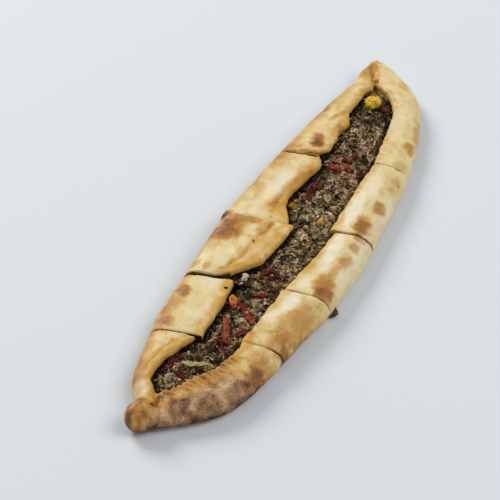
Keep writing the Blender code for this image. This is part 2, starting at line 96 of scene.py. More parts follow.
# Fades from 0 to 1: where each starts and the span that it takes, in millimetres or, for the way that
# a face looks, as a share of 1. A negative span runs towards smaller values.
FADES = {
    # The way that a face looks.
    "top": (-0.1, 0.5), "not_down": (-0.9, 0.5), "inward": (0.2, 0.4), "outward": (0.2, 0.5),
    "rim_outward": (0.05, 0.4), "side_outward": (0.15, 0.5), "cut_across": (0.7, 0.2), "bed_up": (0.1, 0.4),
    # Along the bread: X.
    "ripples_from": (-164.0, 8.0), "ripples_to": (-106.0, -16.0), "dusty_from": (-182.0, 8.0),
    "dusty_to": (-117.0, -16.0), "dusty_knob": (-160.0, -4.0), "dusty_end": (-140.0, -10.0),
    "outside_end": (-50.0, -12.0), "whitish": (-64.0, 12.0), "inside_tip": (136.0, 6.0),
    "rim_tip": (138.0, 12.0), "knob_side": (-162.4, -5.0), "cavity": (139.0, 6.0),
    # Across it: the near rim's distance from the middle, and the closed seam's range in Y.
    "near_rim": (1.0, 3.0), "closed_rim": (-30.0, 8.0),
    # Heights.
    "knob_foot_shade": (9.0, -5.0), "dusty_foot_shade": (12.5, -10.0), "inside_depth": (13.2, -3.0),
    "outside_foot": (9.5, -7.0), "rim_height": (16.5, -4.0), "far_cut_shade": (16.0, -1.5),
    "cut_foot_shade": (14.5, -4.0), "sole": (2.6, -2.6), "lip_moves": (3.0, 6.0), "pushes": (3.0, 8.0),
    "bed_height": (7.5, 2.0),
    # Distances from the lips, a seam, the burnt drop, a clump's edge, the dough and a strip's side.
    "below_lips": (4.5, 4.0), "closed_seam": (8.0, -4.0), "drop": (4.2, -1.2), "clump_gap": (0.0, 3.6),
    "shadowed": (4.95, -4.5), "oil_and_shade_reach": (4.6, -4.0), "strip_hollow": (0.0, 1.4), "strip_edge": (0.9, -0.9),
    # The knob, in its own radii.
    "knob_outer": (0.0, -0.5), "knob_far": (-1.0, 1.0), "knob_colour": (0.14, -0.28),
    "knob_rounding": (1.55, -0.3), "knob_neck": (0.3, 0.4),
    # Spots and red patches, by their own measure.
    "spot": (1.25, -0.8), "red_patches": (-0.5, 1.0),
}

# Noises: the size of their lumps, and a seed.
NOISES = {
    "mottle": (17.0, 2.0), "speckle": (5.0, 6.0), "ragged": (3.2, 4.0), "ragged_fine": (1.1, 9.0),
    "flush": (8.0, 27.0), "rumple": (4.5, 14.0), "lip_specks": (1.7, 19.0), "ripple_drift": (8.0, 12.0),
    "knob_specks": (2.4, 29.0), "bed_grain": (0.8, 3.0), "red_patches": (3.0, 8.0),
    "dough_scraps": (2.0, 33.0), "strip_edge": (2.0, 77.0), "strip_streaks": (1.0, 71.0),
}

# Drifts, which make straight or round things wander: lump size, a seed for each axis, and their reach.
SPOT_DRIFT = (7.0, (21.0, 37.0), 1.6)
CREASE_DRIFT = (4.5, (81.0, 87.0, 93.0), 1.5)
CLUMP_DRIFT = (4.0, (51.0, 57.0, 63.0), 2.0)
STRIP_DRIFT = (3.6, (41.0, 46.0, 31.0), (0.95, 0.95, 0.665))

# Dough: the size of its faces, the passes that smooth its facets, its relief as (height, size), the
# heights where its sole and its top begin, and what is made flat below: its height and direction.
DOUGH_FACE = 0.66
DOUGH_SMOOTHING = 14
DOUGH_RELIEF = ((0.45, 15.0), (0.22, 6.0), (0.08, 2.4))
SOLE_HEIGHT = 2.5
TOP_HEIGHT = 5.0
SOLE_FLAT = (0.35, -0.5)

# The upper edge of the lips: how far its faces look inwards, its least height, and how far they look up.
LIP_EDGE = (0.45, 10.8, -0.3)

# What each part of the dough gets: browning and gold, then how much the browning changes in small and in
# broad patches. What is left out is 0. On the opening's walls, the cut faces and the feet of the knob and the
# dusty rim, the browning is painted shade.
DOUGH_TONES_AND_SHADE = {
    "dough": (0.11, 0, 0.08, 0.11), "flush": (0, 0.3), "lip_specks": (0.5,), "ripples": (0.1,),
    "ripple_band": (0.26,), "ripple_crests": (-0.16,), "knob": (0.24, 0.62, 0.14), "knob_foot_shade": (0.14, 0.4),
    "knob_specks": (0.16,), "dusty": (0.18, 0, 0.24, 0.14), "dusty_end": (0.07,), "dusty_foot_shade": (0.24,),
    "far_inside_gold_and_shade": (0.28, 0.4), "near_inside_gold_and_shade": (0.18, 0.4), "outside": (0.03, 0, 0.1), "outside_end": (0.2,),
    "far_rim": (0.17, 0.5, 0.1), "cut": (0, 0.3), "far_cut_shade": (0.85,), "near_cut_shade": (0.22,), "cut_foot_shade": (0.3,),
    "drop": (0.8,), "sole": (0.2, 0, 0.2),
}

# How uneven some of those are: their usual strength, and its change in small patches.
LIP_PATCHES = (0.9, 0.5)
GOLD_PATCHES = (0.9, 0.8)
CREASE_PATCHES = (0.8, 0.4)
RIPPLE_PATCHES = (0.6, 0.8)
PALE_PATCHES = (1.0, 0.5)
BAND_PATCHES = (1.0, 0.35)

# Small moves of the dough's upper part: x, y, radius, and how far along X and Y.
PUSHES = (
    (162, 25, 6, -0.4, 1.6), (156, 14.6, 7, 0.5, -1.4), (167, 18.6, 6, 0.5, -1.2), (-51, 10, 7, 0, 1.8),
    (-61.5, 13, 5.5, 2.6, 0.6), (-60.5, 25, 7, 0.5, 0), (-126, 19, 8, 0.8, 1.6),
)

# How far along Y the lips are set from the form, as (x, move), and the width of dough that follows them.
NEAR_LIP_MOVES = (
    (-154, 0), (-148, 0.8), (-142, 1.8), (-136, 3.2), (-130, 1.6), (-124, 1.6), (-118, 0.8), (-112, 0.3),
    (-106, 0), (-100, 1.4), (-94, 1), (-88, 1.2), (-82, 2.2), (-76, 2.7), (-70, 2.2), (-64, 2), (-58, 2),
    (-52, 2.8), (-46, 1.9), (-40, 2.5), (-34, 2.2), (-28, 1.8), (-22, 1.1), (-16, 0.9), (-10, 1.5), (2, 2),
    (8, 1.6), (20, 1.2), (32, 0.5), (50, 0.6), (56, -0.2), (62, -0.9), (68, -0.8), (74, 0), (134, 0),
    (140, -0.6), (146, -2.8), (151, -1.4), (156, 0),
)
FAR_LIP_MOVES = (
    (-154, 0), (-148, 0.4), (-142, 1), (-134, 0.2), (-124, -0.6), (-118, 0.6), (-112, 1.4), (-106, -0.6),
    (-100, 1), (-84, 0.2), (-70, 0.4), (-64, -0.2), (-52, 1.6), (-46, 1.2), (-40, 0.2), (-34, 0.8),
    (-10, 0.4), (2, -0.6), (14, 0.2), (26, 1.6), (50, 1.6), (62, 1), (66, 2), (68, 4.4), (71, 2.6),
    (74, 0.2), (80, 0.6), (92, -0.8), (110, -1.3), (116, 1), (128, 0.6), (140, 0.6), (146, -2.6), (151, -1),
    (156, 0),
)
LIP_REACH = 7.0

# How far the outer sides are set out from the smoothed form, as (x, far side, near side). Faces that
# look more up or down than the last share are set out less.
OUTER_MOVES = (
    (-180, 0, 0.2), (-172, 0.1, 0.4), (-166, 0.2, 2), (-160, 0.3, 1.6), (-150, 0.5, 0.7), (-120, 0.8, 0.4),
    (-90, 0.6, 0.4), (-60, 0.8, 0.6), (-30, 1, 0.2), (0, 1, 0), (20, 1.3, 0), (60, 1.5, 0.6),
    (100, 1.4, 0.9), (130, 1.2, 1), (150, 0.9, 0.9), (172, 0, 0.4), (180, 0, 0),
)
LEAST_SIDEWAYS = 0.3

# Where the oven browned the dough: x, y, half length, half width, turn in degrees, and depth of colour.
SPOTS = (
    (78.2, 19.8, 8, 5.2, 20, 0.64), (75, 18.4, 5, 3.8, 20, 0.55), (107, 18.8, 7.5, 2.2, -30, 0.4),
    (96, 14.1, 4.2, 2.4, 10, 0.32), (66.5, 31.5, 4, 5, 14, 0.28), (64.6, 21.5, 1.9, 11, 14, 0.55),
    (109.9, 28.6, 16, 2, -13, 0.45), (160, 19.4, 9.5, 4.2, 12, 0.26), (148, 17, 6, 3, -20, 0.2),
    (153, -7, 8, 3, 38, 0.24), (95.2, -31.3, 5.6, 3.4, 10, 0.46), (85.4, -31.1, 5, 3, 10, 0.1),
    (75, -33.7, 6, 4.6, 10, 0.22), (113.7, -30, 16, 2.6, 12, 0.26), (32.7, -36.5, 5.8, 3.8, 8, 0.52),
    (11.7, -34.2, 9, 5.8, 8, 0.66), (52, -36.1, 3.4, 2.2, 10, 0.2), (45.4, -32.9, 3, 2, 10, 0.18),
    (60.2, -36.8, 4, 3, 10, 0.2), (52, 33, 12, 5, 10, 0.2), (22, 36, 9, 4, 10, 0.16),
    (12, 16.5, 5, 3, -40, 0.24), (-12.2, 31.4, 10.5, 7, -70, 0.47), (-9.4, 23.4, 5, 5, -60, 0.36),
    (-17.4, 32.5, 6, 8, -60, 0.26), (-26, 32.6, 10.8, 8, -64, 0.66), (-36, 36, 8, 5, 0, 0.2),
    (-19.5, 35, 6, 5.5, 0, 0.26), (-9, 12.2, 3.4, 2.4, 20, 0.4), (-26.6, 16.6, 1.2, 0.9, 0, 0.6),
    (-15, 15, 9, 5, 20, 0.22), (-56.9, 29.5, 4, 3, 0, 0.32), (-56.5, 37.5, 4, 3, 0, 0.3),
    (-7.2, 42.2, 5, 2.6, 60, 0.62), (-34, 22, 9, 3, 30, 0.14), (-7.6, -36.8, 5.4, 3.2, 8, 0.44),
    (2.3, -36.7, 4.6, 4, 8, 0.48), (-20.4, -36.5, 7, 3.8, 6, 0.46), (-30.3, -34.5, 5, 3.4, 6, 0.28),
    (-43.5, -33.8, 10, 6.4, 6, 0.52), (-49.6, -35.2, 5, 5, 0, 0.5), (-77.8, 34.3, 5.2, 3.8, 10, 0.54),
    (-93, 34.5, 14, 4, 4, 0.3), (-103, 31.7, 5, 5, 0, 0.36), (-78, -30.5, 24, 7.8, -6, 0.27),
    (-98, -33.2, 4.6, 4.4, 0, 0.6), (-84, -37.6, 9, 3.5, -6, 0.34), (-72, -32, 9, 5, 0, 0.14),
    (-92, -31, 8, 5, -8, 0.2), (-113.8, -27.5, 9, 5, -12, 0.34), (-109.5, -23, 9, 5.5, -12, 0.24),
    (-94, -26.5, 9, 5, -10, 0.16), (-121, -26.6, 6.6, 4.6, -16, 0.52), (-131, -22.8, 5.4, 3.2, -24, 0.36),
    (-138.3, -19.4, 3.6, 3, -24, 0.24), (-147.2, -13.2, 5.8, 3.6, -35, 0.34),
    (-155.8, -0.6, 6.4, 4.4, -45, 0.38), (-155.6, 3.4, 3.4, 2.8, -45, 0.34), (-166, 24, 4, 3.4, 0, 0.2),
    (-172.6, 20, 4.4, 4, 0, 0.34), (-171, 12, 3, 2.6, 0, 0.3), (-142, 29, 14, 5, 30, 0.22),
)

# How ragged the spots' outlines are, coarse and fine, the height below which they stop, and how high a
# black one is blistered.
SPOT_RAGGED = (0.28, 0.12)
SPOT_FOOT = 1.5
BLISTER_HEIGHT = 0.28

# The golden band along each slice's lips: its width and strength on the far side, then on the near.
LIP_GOLD = (
    (3.4, 0.65, 2.2, 0.5), (5.4, 0.95, 2.6, 0.65), (4.6, 0.85, 3, 0.7), (4.4, 1, 4, 0.8),
    (5, 0.95, 6.6, 0.95),
)

# Broad golden places in the dough: x, y, half length, half width, turn in degrees, and strength. Their
# outlines are this many times as ragged as a spot's.
GOLD_PLACES = (
    (-28, 9.5, 30, 8, -12, 0.34), (-7.2, 42.2, 6, 4, 60, 0.8), (158, 20, 10, 5, 12, 0.75),
    (-90, 34, 18, 5, 4, 0.4), (-128, 28, 26, 9, 22, 0.5), (120, 24, 30, 6, -14, 0.3),
    (-108, -17, 10, 5, -14, 0.45), (58, 33, 14, 5, 0, 0.35), (20, 31, 16, 7, 0, 0.25),
    (150, 2, 16, 6, 40, 0.22), (-62, 15, 7, 5, 0, 0.35), (-76, -31, 22, 7, -6, 0.32),
    (-110, -26, 10, 8, -12, 0.2), (-155, 4, 5, 4, -40, 0.7), (-36, 36, 8, 6, 0, 0.3),
    (-20, 32, 13, 9, -60, 0.5), (12, 16.5, 6, 4, -40, 0.6), (78, 19, 9, 6, 20, 0.3),
    (-103, -15.5, 7, 4, -14, 0.45), (7.5, 15, 9, 4, -20, 0.5), (-5, -36.8, 10, 4, 8, 0.45),
    (-123, -26, 8, 5, -16, 0.5), (72, 26, 7, 14, 0, 0.4),
)
GOLD_RAGGED = 2.0

# Pale places, in the same terms: whitish dough that the oven left, and painted highlights along the near
# rim's crest. Then how pale the near side's foot is.
PALE_AND_HIGHLIGHT_PLACES = (
    (24, -26, 21, 3.6, 4, 0.85), (-15, -28, 22, 3.8, 2, 0.85), (-47, -25.4, 8, 3, -6, 0.6),
    (-65, -23.6, 10, 4, -10, 0.85), (-79, -20, 9, 3.2, -14, 0.6), (-106, -18.6, 6, 2.6, -20, 0.3),
    (28, 24, 20, 6.5, -8, 0.6), (50, -27, 16, 5, 4, 0.5), (112, -18, 18, 5, 12, 0.3),
    (-66, 24, 9, 7, 0, 0.35), (-152, 23, 7, 4, 30, 0.45), (-12, -39, 34, 4, 2, 0.6),
    (30, -40, 20, 3, 2, 0.35),
)
PALE_RAGGED = 0.5
SIDE_PALENESS = 0.45

# At the tip the opening's walls get this much less painted shade, and the far rim is this much less brown.
TIP_INSIDE = 0.7
TIP_RIM = 0.8

# The burnt drop of juice.
DROP_PLACE = (-49.1, -41.3, 2.3)

# Creases in the dough as (depth, half width, gold, browning with painted shade, path in x and y), how much
# wider than the crease its gold is, and the place along X beyond which they also run down the knob's sides.
CREASES = (
    (1.1, 1.3, 0.95, 0.1, (
        (-55, 20), (-50, 18.2), (-41.7, 16.4), (-30.3, 15.3), (-18.7, 14.2), (-12.7, 11.8))),
    (0.45, 1.5, 0.6, 0.05, ((86, 13.5), (92, 16), (99, 14.6), (106, 16), (113, 16.4))),
    (0.5, 1.8, 0.6, 0.05, ((14, 18.5), (20, 18.6), (28.8, 17.2), (38.2, 13.6), (48.5, 11.5))),
    (0, 2.3, 1, 0.32, ((6, 18), (9.5, 21), (16.8, 18), (28.8, 15.8), (38.2, 13.2), (49, 10))),
    (0.5, 1.3, 0.5, 0.05, ((-106, 14.4), (-112, 18), (-119, 21.4), (-127, 24), (-136, 26), (-143, 25.4))),
    (0.35, 1.6, 0.5, 0, ((-36, -22), (-28, -22.6), (-18, -24.4))),
    (0.3, 0.8, 0.4, 0.34, ((60, 33.5), (61.4, 27.3), (63, 21.5), (64.2, 16.8), (65.2, 12.1))),
    (1.5, 1.1, 0.9, 0.3, ((147.5, 11.6), (151, 13), (157, 15.7), (163, 18.3), (168, 19.8))),
    (0.9, 1.1, 0.9, 0.12, ((-151.5, 16), (-154, 13.6), (-157.7, 10.6), (-160, 10.4))),
    (1.3, 1.1, 0.5, 0.26, (
        (-163, 24), (-162.9, 21.4), (-162.3, 18.3), (-161.5, 14.8), (-162.4, 11.5), (-162, 8.9))),
    (1.3, 1.3, 0.6, 0.3, ((-155.5, 12.2), (-158.5, 11.4), (-162.4, 11))),
    (0.8, 1.2, 0.3, 0.14, ((-157, 11.4), (-162.4, 10.9), (-165, 9.8), (-168, 9), (-172.6, 8.6))),
    (1.2, 1.6, 0.6, 0.08, ((-164.6, 16.8), (-168, 15.6), (-171.3, 14.5), (-174.5, 13.8))),
)
CREASE_GOLD_WIDTH = 2.0
KNOB_START = -157

# The cuts lie within this distance along X. One seam is nearly closed on the near rim: its place, how
# much fainter its gold and painted shade are, and how far its two sides are pressed together.
CUTS_WITHIN = 120
CLOSED_SEAM = -103
CLOSED_FAINTNESS = 0.8
CLOSED_PRESS = 0.9

# The ripples across the near rim beside the knob: their pitch, height and width, how far they follow
# the rim's lean, how far they drift, and how much of the rim's streaked grain they share.
RIPPLE_PITCH = 3.1
RIPPLE_HEIGHT = 0.62
RIPPLE_WIDTH = 6.0
RIPPLE_LEAN = 0.6
RIPPLE_DRIFT = 1.8
RIPPLE_GRAIN = 0.3
LEAN_STATIONS = np.arange(-177, 178, 1.0)

# The round knob: its middle, its radii, how far the form is rounded towards them, and the direction of
# the near rim, where it isn't. Then its colour's reach, how much further that goes at its outer end,
# and how much of its height counts for it.
KNOB_MIDDLE = (-167.4, 16.4, 7.4)
KNOB_RADII = (8.0, 7.4, 7.8)
KNOB_ROUNDING = 0.75
TOWARDS_RIM = (0.5, -0.87)
KNOB_REACH = 1.08
KNOB_OUTER_REACH = 0.4
KNOB_HEIGHT_SHARE = 0.6

# How far the dough's lips are rumpled: height and width; and the noise above which they have specks.
RUMPLE_HEIGHT = 0.6
RUMPLE_WIDTH = 3.5
SPECK_START = 0.12

# Filling: the size of its faces, its smoothing, its clumps' size, height and level, its ridges as
# (height, size), how sharp they are and how far they drift with the clumps, its finest grain, and how
# far it lies under its bits.
BED_FACE = 0.38
BED_SMOOTHING = 3
CLUMP_SIZE = 9.0
CLUMP_HEIGHT = 0.9
CLUMP_LEVEL = 0.6
BED_RIDGES = ((0.65, 2.1), (0.45, 1.0))
RIDGE_SHARPNESS = 2.4
RIDGE_DRIFT = 0.4
BED_GRAIN = 0.18
BED_DROP = 0.75

# The filling's paleness: its usual tone, its changes as (strength, size), how much crests add above
# their level, how much painted shade darkens the gaps between clumps and the filling under the far lip,
# and how much the hollow at the tip changes it.
BED_TONE = 0.52
BED_TONES = ((0.22, 11.0), (0.38, 5.0), (0.20, 1.9))
CREST_TONE = 0.36
CREST_LEVEL = 0.45
GAP_SHADE = 0.45
SHADE_DARKNESS = 0.55
CAVITY_TONE = 0.3

# The hollow at the tip, where the dough shows: how much flatter and deeper it is, how doughy, and where
# bits no longer lie.
CAVITY_FLATNESS = 0.8
CAVITY_DEPTH = 0.8
CAVITY_DOUGH = (0.75, 0.5)
CAVITY_EDGE = 141.0

# Where the filling is paler or redder: x, y, radius, change of tone, and redness. Then how red it is
# between the red patches, and how red its loose crumbs are.
FILLING_ZONES = (
    (103, 0.5, 12, 0.16, 0.1), (87, -8, 7, 0.04, 0.7), (71, -4, 7, 0.02, 0.8), (62, 4, 6, 0.1, 0.8),
    (58, -4, 5, -0.05, 1), (40, 6, 8, -0.1, 0.6), (42, -8, 18, 0.15, 0.05), (10, -8, 18, 0.15, 0),
    (-24, -12, 14, 0.12, 0), (-45, -4, 9, 0.04, 0.45), (-39, 1.5, 4, 0, 0.7), (-64, -3, 8, 0.06, 0.3),
    (-90, -4, 7, 0.1, 0.3), (-106, 0, 5, -0.05, 0.8), (-112, 2, 8, 0.04, 0.6), (-119, 9, 6, -0.12, 0),
    (-138, 15, 7, 0.03, 0.05), (-135, 8, 5, -0.06, 0.7), (142, 9, 9, 0.06, 0.3), (116, 1, 11, -0.34, 0.05),
    (-60, 10, 8, -0.16, 0), (-78, 10, 5, -0.18, 0), (-112.5, 2.5, 6, -0.26, -0.4),
    (-128.5, -2.1, 5, -0.12, 0.2), (-118, 5, 3.5, 0.2, 0), (-141.5, 15, 4.5, 0.1, 0),
    (-61.5, 6, 5.5, -0.4, 0), (-141, 2, 4, -0.2, 0), (32, 9, 8, -0.06, 0.7), (64, -2, 6, 0.1, 0.6),
)
LEAST_REDNESS = 0.4
CRUMB_REDNESS = 0.8

# Pieces in the filling: the size of their faces and their smoothing. Then, for the strips, how level
# their side faces look at most, how much the tops are flattened and hollowed, how high above the middle
# the hollow starts, their streaks as (strength, length, width), and how much darker their edges are and
# how that changes.
PIECE_FACE = 0.32
PIECE_SMOOTHING = 3
STRIP_SIDE = 0.35
STRIP_FLATTENING = 0.30
STRIP_HOLLOW = 0.40
HOLLOW_START = 0.2
STRIP_STREAKS = (0.42, 4.0, 0.7)
STRIP_EDGE_TONES = (-0.10, 0.26)

# Their relief and that of the lumps as (height, size), and the tones of their two ends, the first
# nearer the tip.
PIECE_RELIEF = ((0.32, 3.4), (0.22, 1.3))
LUMP_RELIEF = ((1.5, 2.6), (0.6, 1.1))
PIECE_TONES = {
    "pepper_1": (0.15, 0.30), "pepper_2": (0.50, 0.30), "pepper_3": (0.30, 0.70), "pepper_4": (0.10, 0.25),
    "pepper_5": (0.35, 0.60), "pepper_6": (0.40, 0.50), "pepper_7": (1.00, 0.10), "pepper_8": (0.20, 0.80),
    "pepper_9": (0.60, 0.85), "pepper_10": (0.15, 0.30), "pepper_11": (0.30, 0.45), "pepper_12": (0.40, 0.40),
    "onion_1": (0.35, 0.75), "onion_2": (0.50, 0.50), "cheese_1": (0.65, 0.50), "cheese_2": (0.00, 0.00),
    "cheese_3": (0.40, 0.40), "cheese_4": (0.50, 0.50),
}

# A bit of leaf stuck to the fourth slice's far flap: x and y, how far it stands off, size, turn and tone.
STUCK_LEAF = (-66.8, 14.4)
STUCK_LEAF_LIFT = 0.25
STUCK_LEAF_SIZE = (1.1, 1.0, 0.5)
STUCK_LEAF_TURN = 0.6
STUCK_LEAF_TONE = 0.1

# Small red pieces between the strips: x, y, length, width, turn in degrees, and tone, from dark to pale.
RED_BITS = (
    (70.2, -3.8, 6.4, 2.6, -24, 0.6), (74, -5.6, 3.4, 2, -60, 0.45), (49, 5, 2.6, 1.6, 60, 0.3),
    (66, 3, 3, 2, 40, 0.7), (64, -3.3, 5, 3.2, 20, 0.75), (60.5, 0, 5.2, 3, 50, 0.6),
    (58.6, 3.6, 4, 2.4, 10, 0.7), (69.5, -0.6, 4, 2.4, -50, 0.5), (56, -15, 9, 2.6, 5, 0.15),
    (27.4, 6.4, 6, 2.8, 30, 0.1), (34, 9.6, 7, 3, 10, 0.05), (37.4, 6, 5, 2.6, -20, 0.15),
    (21, 4.6, 3, 1.8, -20, 0.3), (121, -1.4, 2.6, 2, 30, 0.2), (127.6, -4.8, 7, 3.6, -30, 0.1),
    (124.8, -7.6, 4, 2.4, -40, 0.25), (-47.2, -3.8, 5, 3, 80, 0.05), (-39, 2, 4, 1.4, 60, 0.4),
    (-42, 4.6, 3, 1.2, 20, 0.5), (-51, -11.6, 3, 1.4, 10, 0.45), (-56.6, -11, 4.2, 1.6, 70, 0.4),
    (-60, -10.8, 3, 1.6, 60, 0.6), (-72.5, 4, 2.4, 1.6, 0, 0.5), (-93, 0.5, 3, 1.6, -10, 0.2),
    (-104.4, 0.8, 6, 3.4, 70, 0.35), (-103.8, -2.8, 5, 3, 60, 0.55), (-107.4, 3.4, 4.6, 2.4, 80, 0.15),
    (-110, -6.6, 3, 1.6, 20, 0.15), (-119, 1, 2.2, 1.4, 80, 0.1), (-127, 0, 2.6, 1.6, -50, 0.2),
    (-122, 18.4, 8, 3.4, -20, 0.25), (-127.4, 17.4, 8, 3.4, -24, 0.12), (-132.5, 17.8, 7, 3, -10, 0),
    (-131, 9.6, 2.6, 1.6, 10, 0.1), (-141, 10.4, 2.6, 1.4, -20, 0.15),
)
RED_BIT_THICKNESS = 0.45
RED_BIT_LIFT = 0.2
RED_BIT_TILT = (0.25, 0.2)

# Crumbs of mince: their length and height as shares of their width, the middle and spread of their tone
# beside the filling's, and their tilt. Then the tilt of shreds, and how far both are raised or sunk.
MINCE_LENGTHS = (1.3, 2.6)
MINCE_HEIGHTS = (0.45, 0.7)
MINCE_TONES = (0.04, 0.10)
MINCE_TILT = 0.6
MINCE_SINK = 0.1
SHRED_TILT = (0.35, 0.25)
SHRED_LIFT = 0.1

# The loose bits' shapes: the height and closeness of a crumb's and a chip's knobs. How much a shred of
# leaf narrows to its ends, its width and how that changes, its bend, crinkle and thickness, and its wave
# as (height, pace). How far a chip is rounded, and towards what radius, and how much it twists and bows.
CRUMB_KNOBS = (0.42, 1.3)
CHIP_KNOBS = (0.5, 0.9)
LEAF_NARROWING = 0.55
LEAF_WIDTH = (0.8, 0.5)
LEAF_BEND = 0.35
LEAF_CRINKLE = 0.34
LEAF_THICKNESS = 0.09
LEAF_WAVE = (0.12, 3.4)
CHIP_ROUNDING = 0.35
CHIP_RADIUS = 1.25
CHIP_TWIST = 0.6
CHIP_BOW = 0.3
BIT_KINDS = 7
CHIP_KINDS = 5

# Where loose bits may lie: how far from the opening's middle, the height that plumb lines drop from, the
# filling's least height, how far bits sink into a piece, and how far they stray from their grid.
OPENING_REACH = 32
PLUMB_HEIGHT = 40
LOWEST_BED = 8.0
BIT_SINK = 0.2
GRID_STRAY = 0.6

# Screen colours along the tone of each stuff, as (tone, colour).
DOUGH_COLOURS = (
    (0.00, (229, 215, 174)), (0.12, (221, 200, 148)), (0.24, (213, 184, 121)), (0.38, (200, 161, 94)),
    (0.54, (182, 132, 65)), (0.70, (161, 105, 46)), (0.84, (124, 74, 29)), (1.00, (56, 31, 15)),
)
FLOURY_COLOURS = (
    (0.00, (238, 214, 184)), (0.24, (216, 180, 141)), (0.45, (185, 145, 105)), (0.65, (149, 110, 74)),
    (0.84, (108, 76, 46)), (1.00, (50, 32, 19)),
)
GOLDEN_COLOURS = (
    (0.00, (208, 163, 76)), (0.30, (194, 144, 57)), (0.50, (173, 118, 46)), (0.68, (142, 88, 33)),
    (0.85, (98, 56, 22)), (1.00, (46, 26, 12)),
)
WHITISH_AND_HIGHLIGHT = (235, 226, 199)
MINCE_COLOURS = (
    (0.0, (14, 9, 3)), (0.2, (44, 31, 13)), (0.42, (98, 77, 43)), (0.62, (150, 124, 82)),
    (0.82, (190, 165, 122)), (1.0, (224, 206, 168)),
)
PINKISH_COLOURS = ((0.0, (22, 10, 6)), (0.3, (74, 48, 34)), (0.6, (148, 115, 92)), (1.0, (212, 186, 162)))
REDDISH_COLOURS = ((0.0, (30, 8, 4)), (0.3, (86, 32, 18)), (0.6, (148, 84, 60)), (1.0, (206, 154, 128)))
GREENISH_COLOURS = ((0.0, (12, 12, 4)), (0.4, (50, 50, 20)), (1.0, (152, 144, 88)))
OIL_AND_SHADE_COLOURS = ((0.0, (14, 7, 2)), (0.6, (58, 36, 13)), (1.0, (128, 88, 42)))
SOAKED_DOUGH_COLOURS = ((0.0, (110, 70, 14)), (1.0, (176, 128, 50)))
SPINACH_COLOURS = ((0.0, (14, 14, 4)), (0.5, (36, 37, 12)), (1.0, (74, 72, 30)))
PEPPER_CHIP_COLOURS = ((0.0, (46, 10, 5)), (0.5, (98, 31, 18)), (1.0, (166, 86, 64)))
ONION_SHRED_COLOURS = ((0.0, (104, 88, 58)), (0.5, (150, 132, 98)), (1.0, (190, 174, 142)))

# The finish of each slot's pieces: its name, dark, main and light colour, size of patches and roughness.
PIECE_FINISHES = {
    "pepper": ("red_pepper", (48, 13, 6), (114, 31, 17), (180, 92, 62), 3.4, 0.48),
    "dark_pepper": ("dark_red_pepper", (36, 8, 4), (78, 16, 8), (130, 56, 34), 3.4, 0.48),
    "orange_pepper": ("orange_pepper", (92, 16, 6), (166, 64, 16), (186, 152, 62), 4.0, 0.46),
    "onion": ("cooked_onion", (126, 116, 62), (164, 148, 98), (176, 156, 128), 3.0, 0.38),
    "red_onion": ("cooked_red_onion", (74, 44, 42), (126, 90, 84), (160, 130, 116), 3.0, 0.38),
    "yellow_cheese": ("yellow_cheese", (136, 112, 34), (208, 170, 54), (236, 206, 100), 3.6, 0.44),
    "white_cheese": ("white_cheese", (164, 150, 104), (202, 192, 150), (226, 220, 186), 2.0, 0.48),
}


# ---------------------------------------------------------------- meshes


def link(name, data):
    item = bpy.data.objects.new(name, data)
    bpy.context.scene.collection.objects.link(item)
    return item


def merged_mesh(node, name):
    """A copy of a node's mesh with its loose triangles joined."""
    shape = bmesh.new()
    shape.from_mesh(frame["nodes"][node].data)
    bmesh.ops.remove_doubles(shape, verts=shape.verts, dist=JOIN_WITHIN * MM)
    mesh = bpy.data.meshes.new(name)
    shape.to_mesh(mesh)
    shape.free()
    return mesh


def fine_copy(node, name, face, passes):
    """A piece with a node's form in small even faces, its facets smoothed away."""
    draft = link(f"{name}_draft", merged_mesh(node, name))
    remesh = draft.modifiers.new("even faces", "REMESH")
    remesh.mode = "VOXEL"
    remesh.voxel_size = face * MM
    smooth = draft.modifiers.new("no facets", "SMOOTH")
    smooth.factor = PASS_STRENGTH
    smooth.iterations = passes
    evaluated = draft.evaluated_get(bpy.context.evaluated_depsgraph_get())
    mesh = bpy.data.meshes.new_from_object(evaluated)
    bpy.data.objects.remove(draft, do_unlink=True)
    mesh.name = name
    mesh.materials.clear()
    mesh.shade_smooth()
    return link(name, mesh)


def vertex_rows(mesh, what):
    """Three numbers for each of a mesh's points."""
    flat = np.empty(len(mesh.vertices) * 3, np.float32)
    mesh.vertices.foreach_get(what, flat)
    return flat.reshape(-1, 3).astype(float)


def points_of(mesh):
    """A mesh's points in millimetres."""
    return vertex_rows(mesh, "co") / MM


def normals_of(mesh):
    return vertex_rows(mesh, "normal")


def move_points(mesh, points):
    mesh.vertices.foreach_set("co", (points * MM).astype(np.float32).ravel())
    mesh.update()


def set_value(mesh, name, values):
    """Store one number for each point of a mesh, from 0 to 1, for its material to read."""
    layer = mesh.attributes.new(name, "FLOAT", "POINT")
    layer.data.foreach_set("value", np.clip(values, 0, 1).astype(np.float32))


def noise_at(points, size, seed):
    """Smooth noise from -1 to 1 at points, with lumps of a size in millimetres."""
    return np.array([noise.noise(point) for point in (points / size + seed).tolist()])


def noisy(points, name):
    return noise_at(points, *NOISES[name])


def ridges_at(points, size, seed):
    """Noise folded into crests, about 0 in the hollows and 1 along the crests."""
    return 1 - RIDGE_SHARPNESS * np.abs(noise_at(points, size, seed))


def relief_at(points, layers, seed):
    """A sum of noises, each given as its height and its size."""
    return sum(height * noise_at(points, size, seed + i) for i, (height, size) in enumerate(layers))


def drift_at(points, size, seeds, reach):
    """How far noise carries points, along one axis for each seed."""
    return np.stack([noise_at(points, size, seed) for seed in seeds], axis=1) * reach


def smooth_step(values):
    values = np.clip(values, 0.0, 1.0)
    return values * values * (3 - 2 * values)


def fade(values, name):
    """How far values are through one of the fades."""
    start, span = FADES[name]
    return smooth_step((values - start) / span)


def along_table(x, table):
    """A table's value at each x, from its rows of (x, value)."""
    return np.interp(x, *zip(*table))


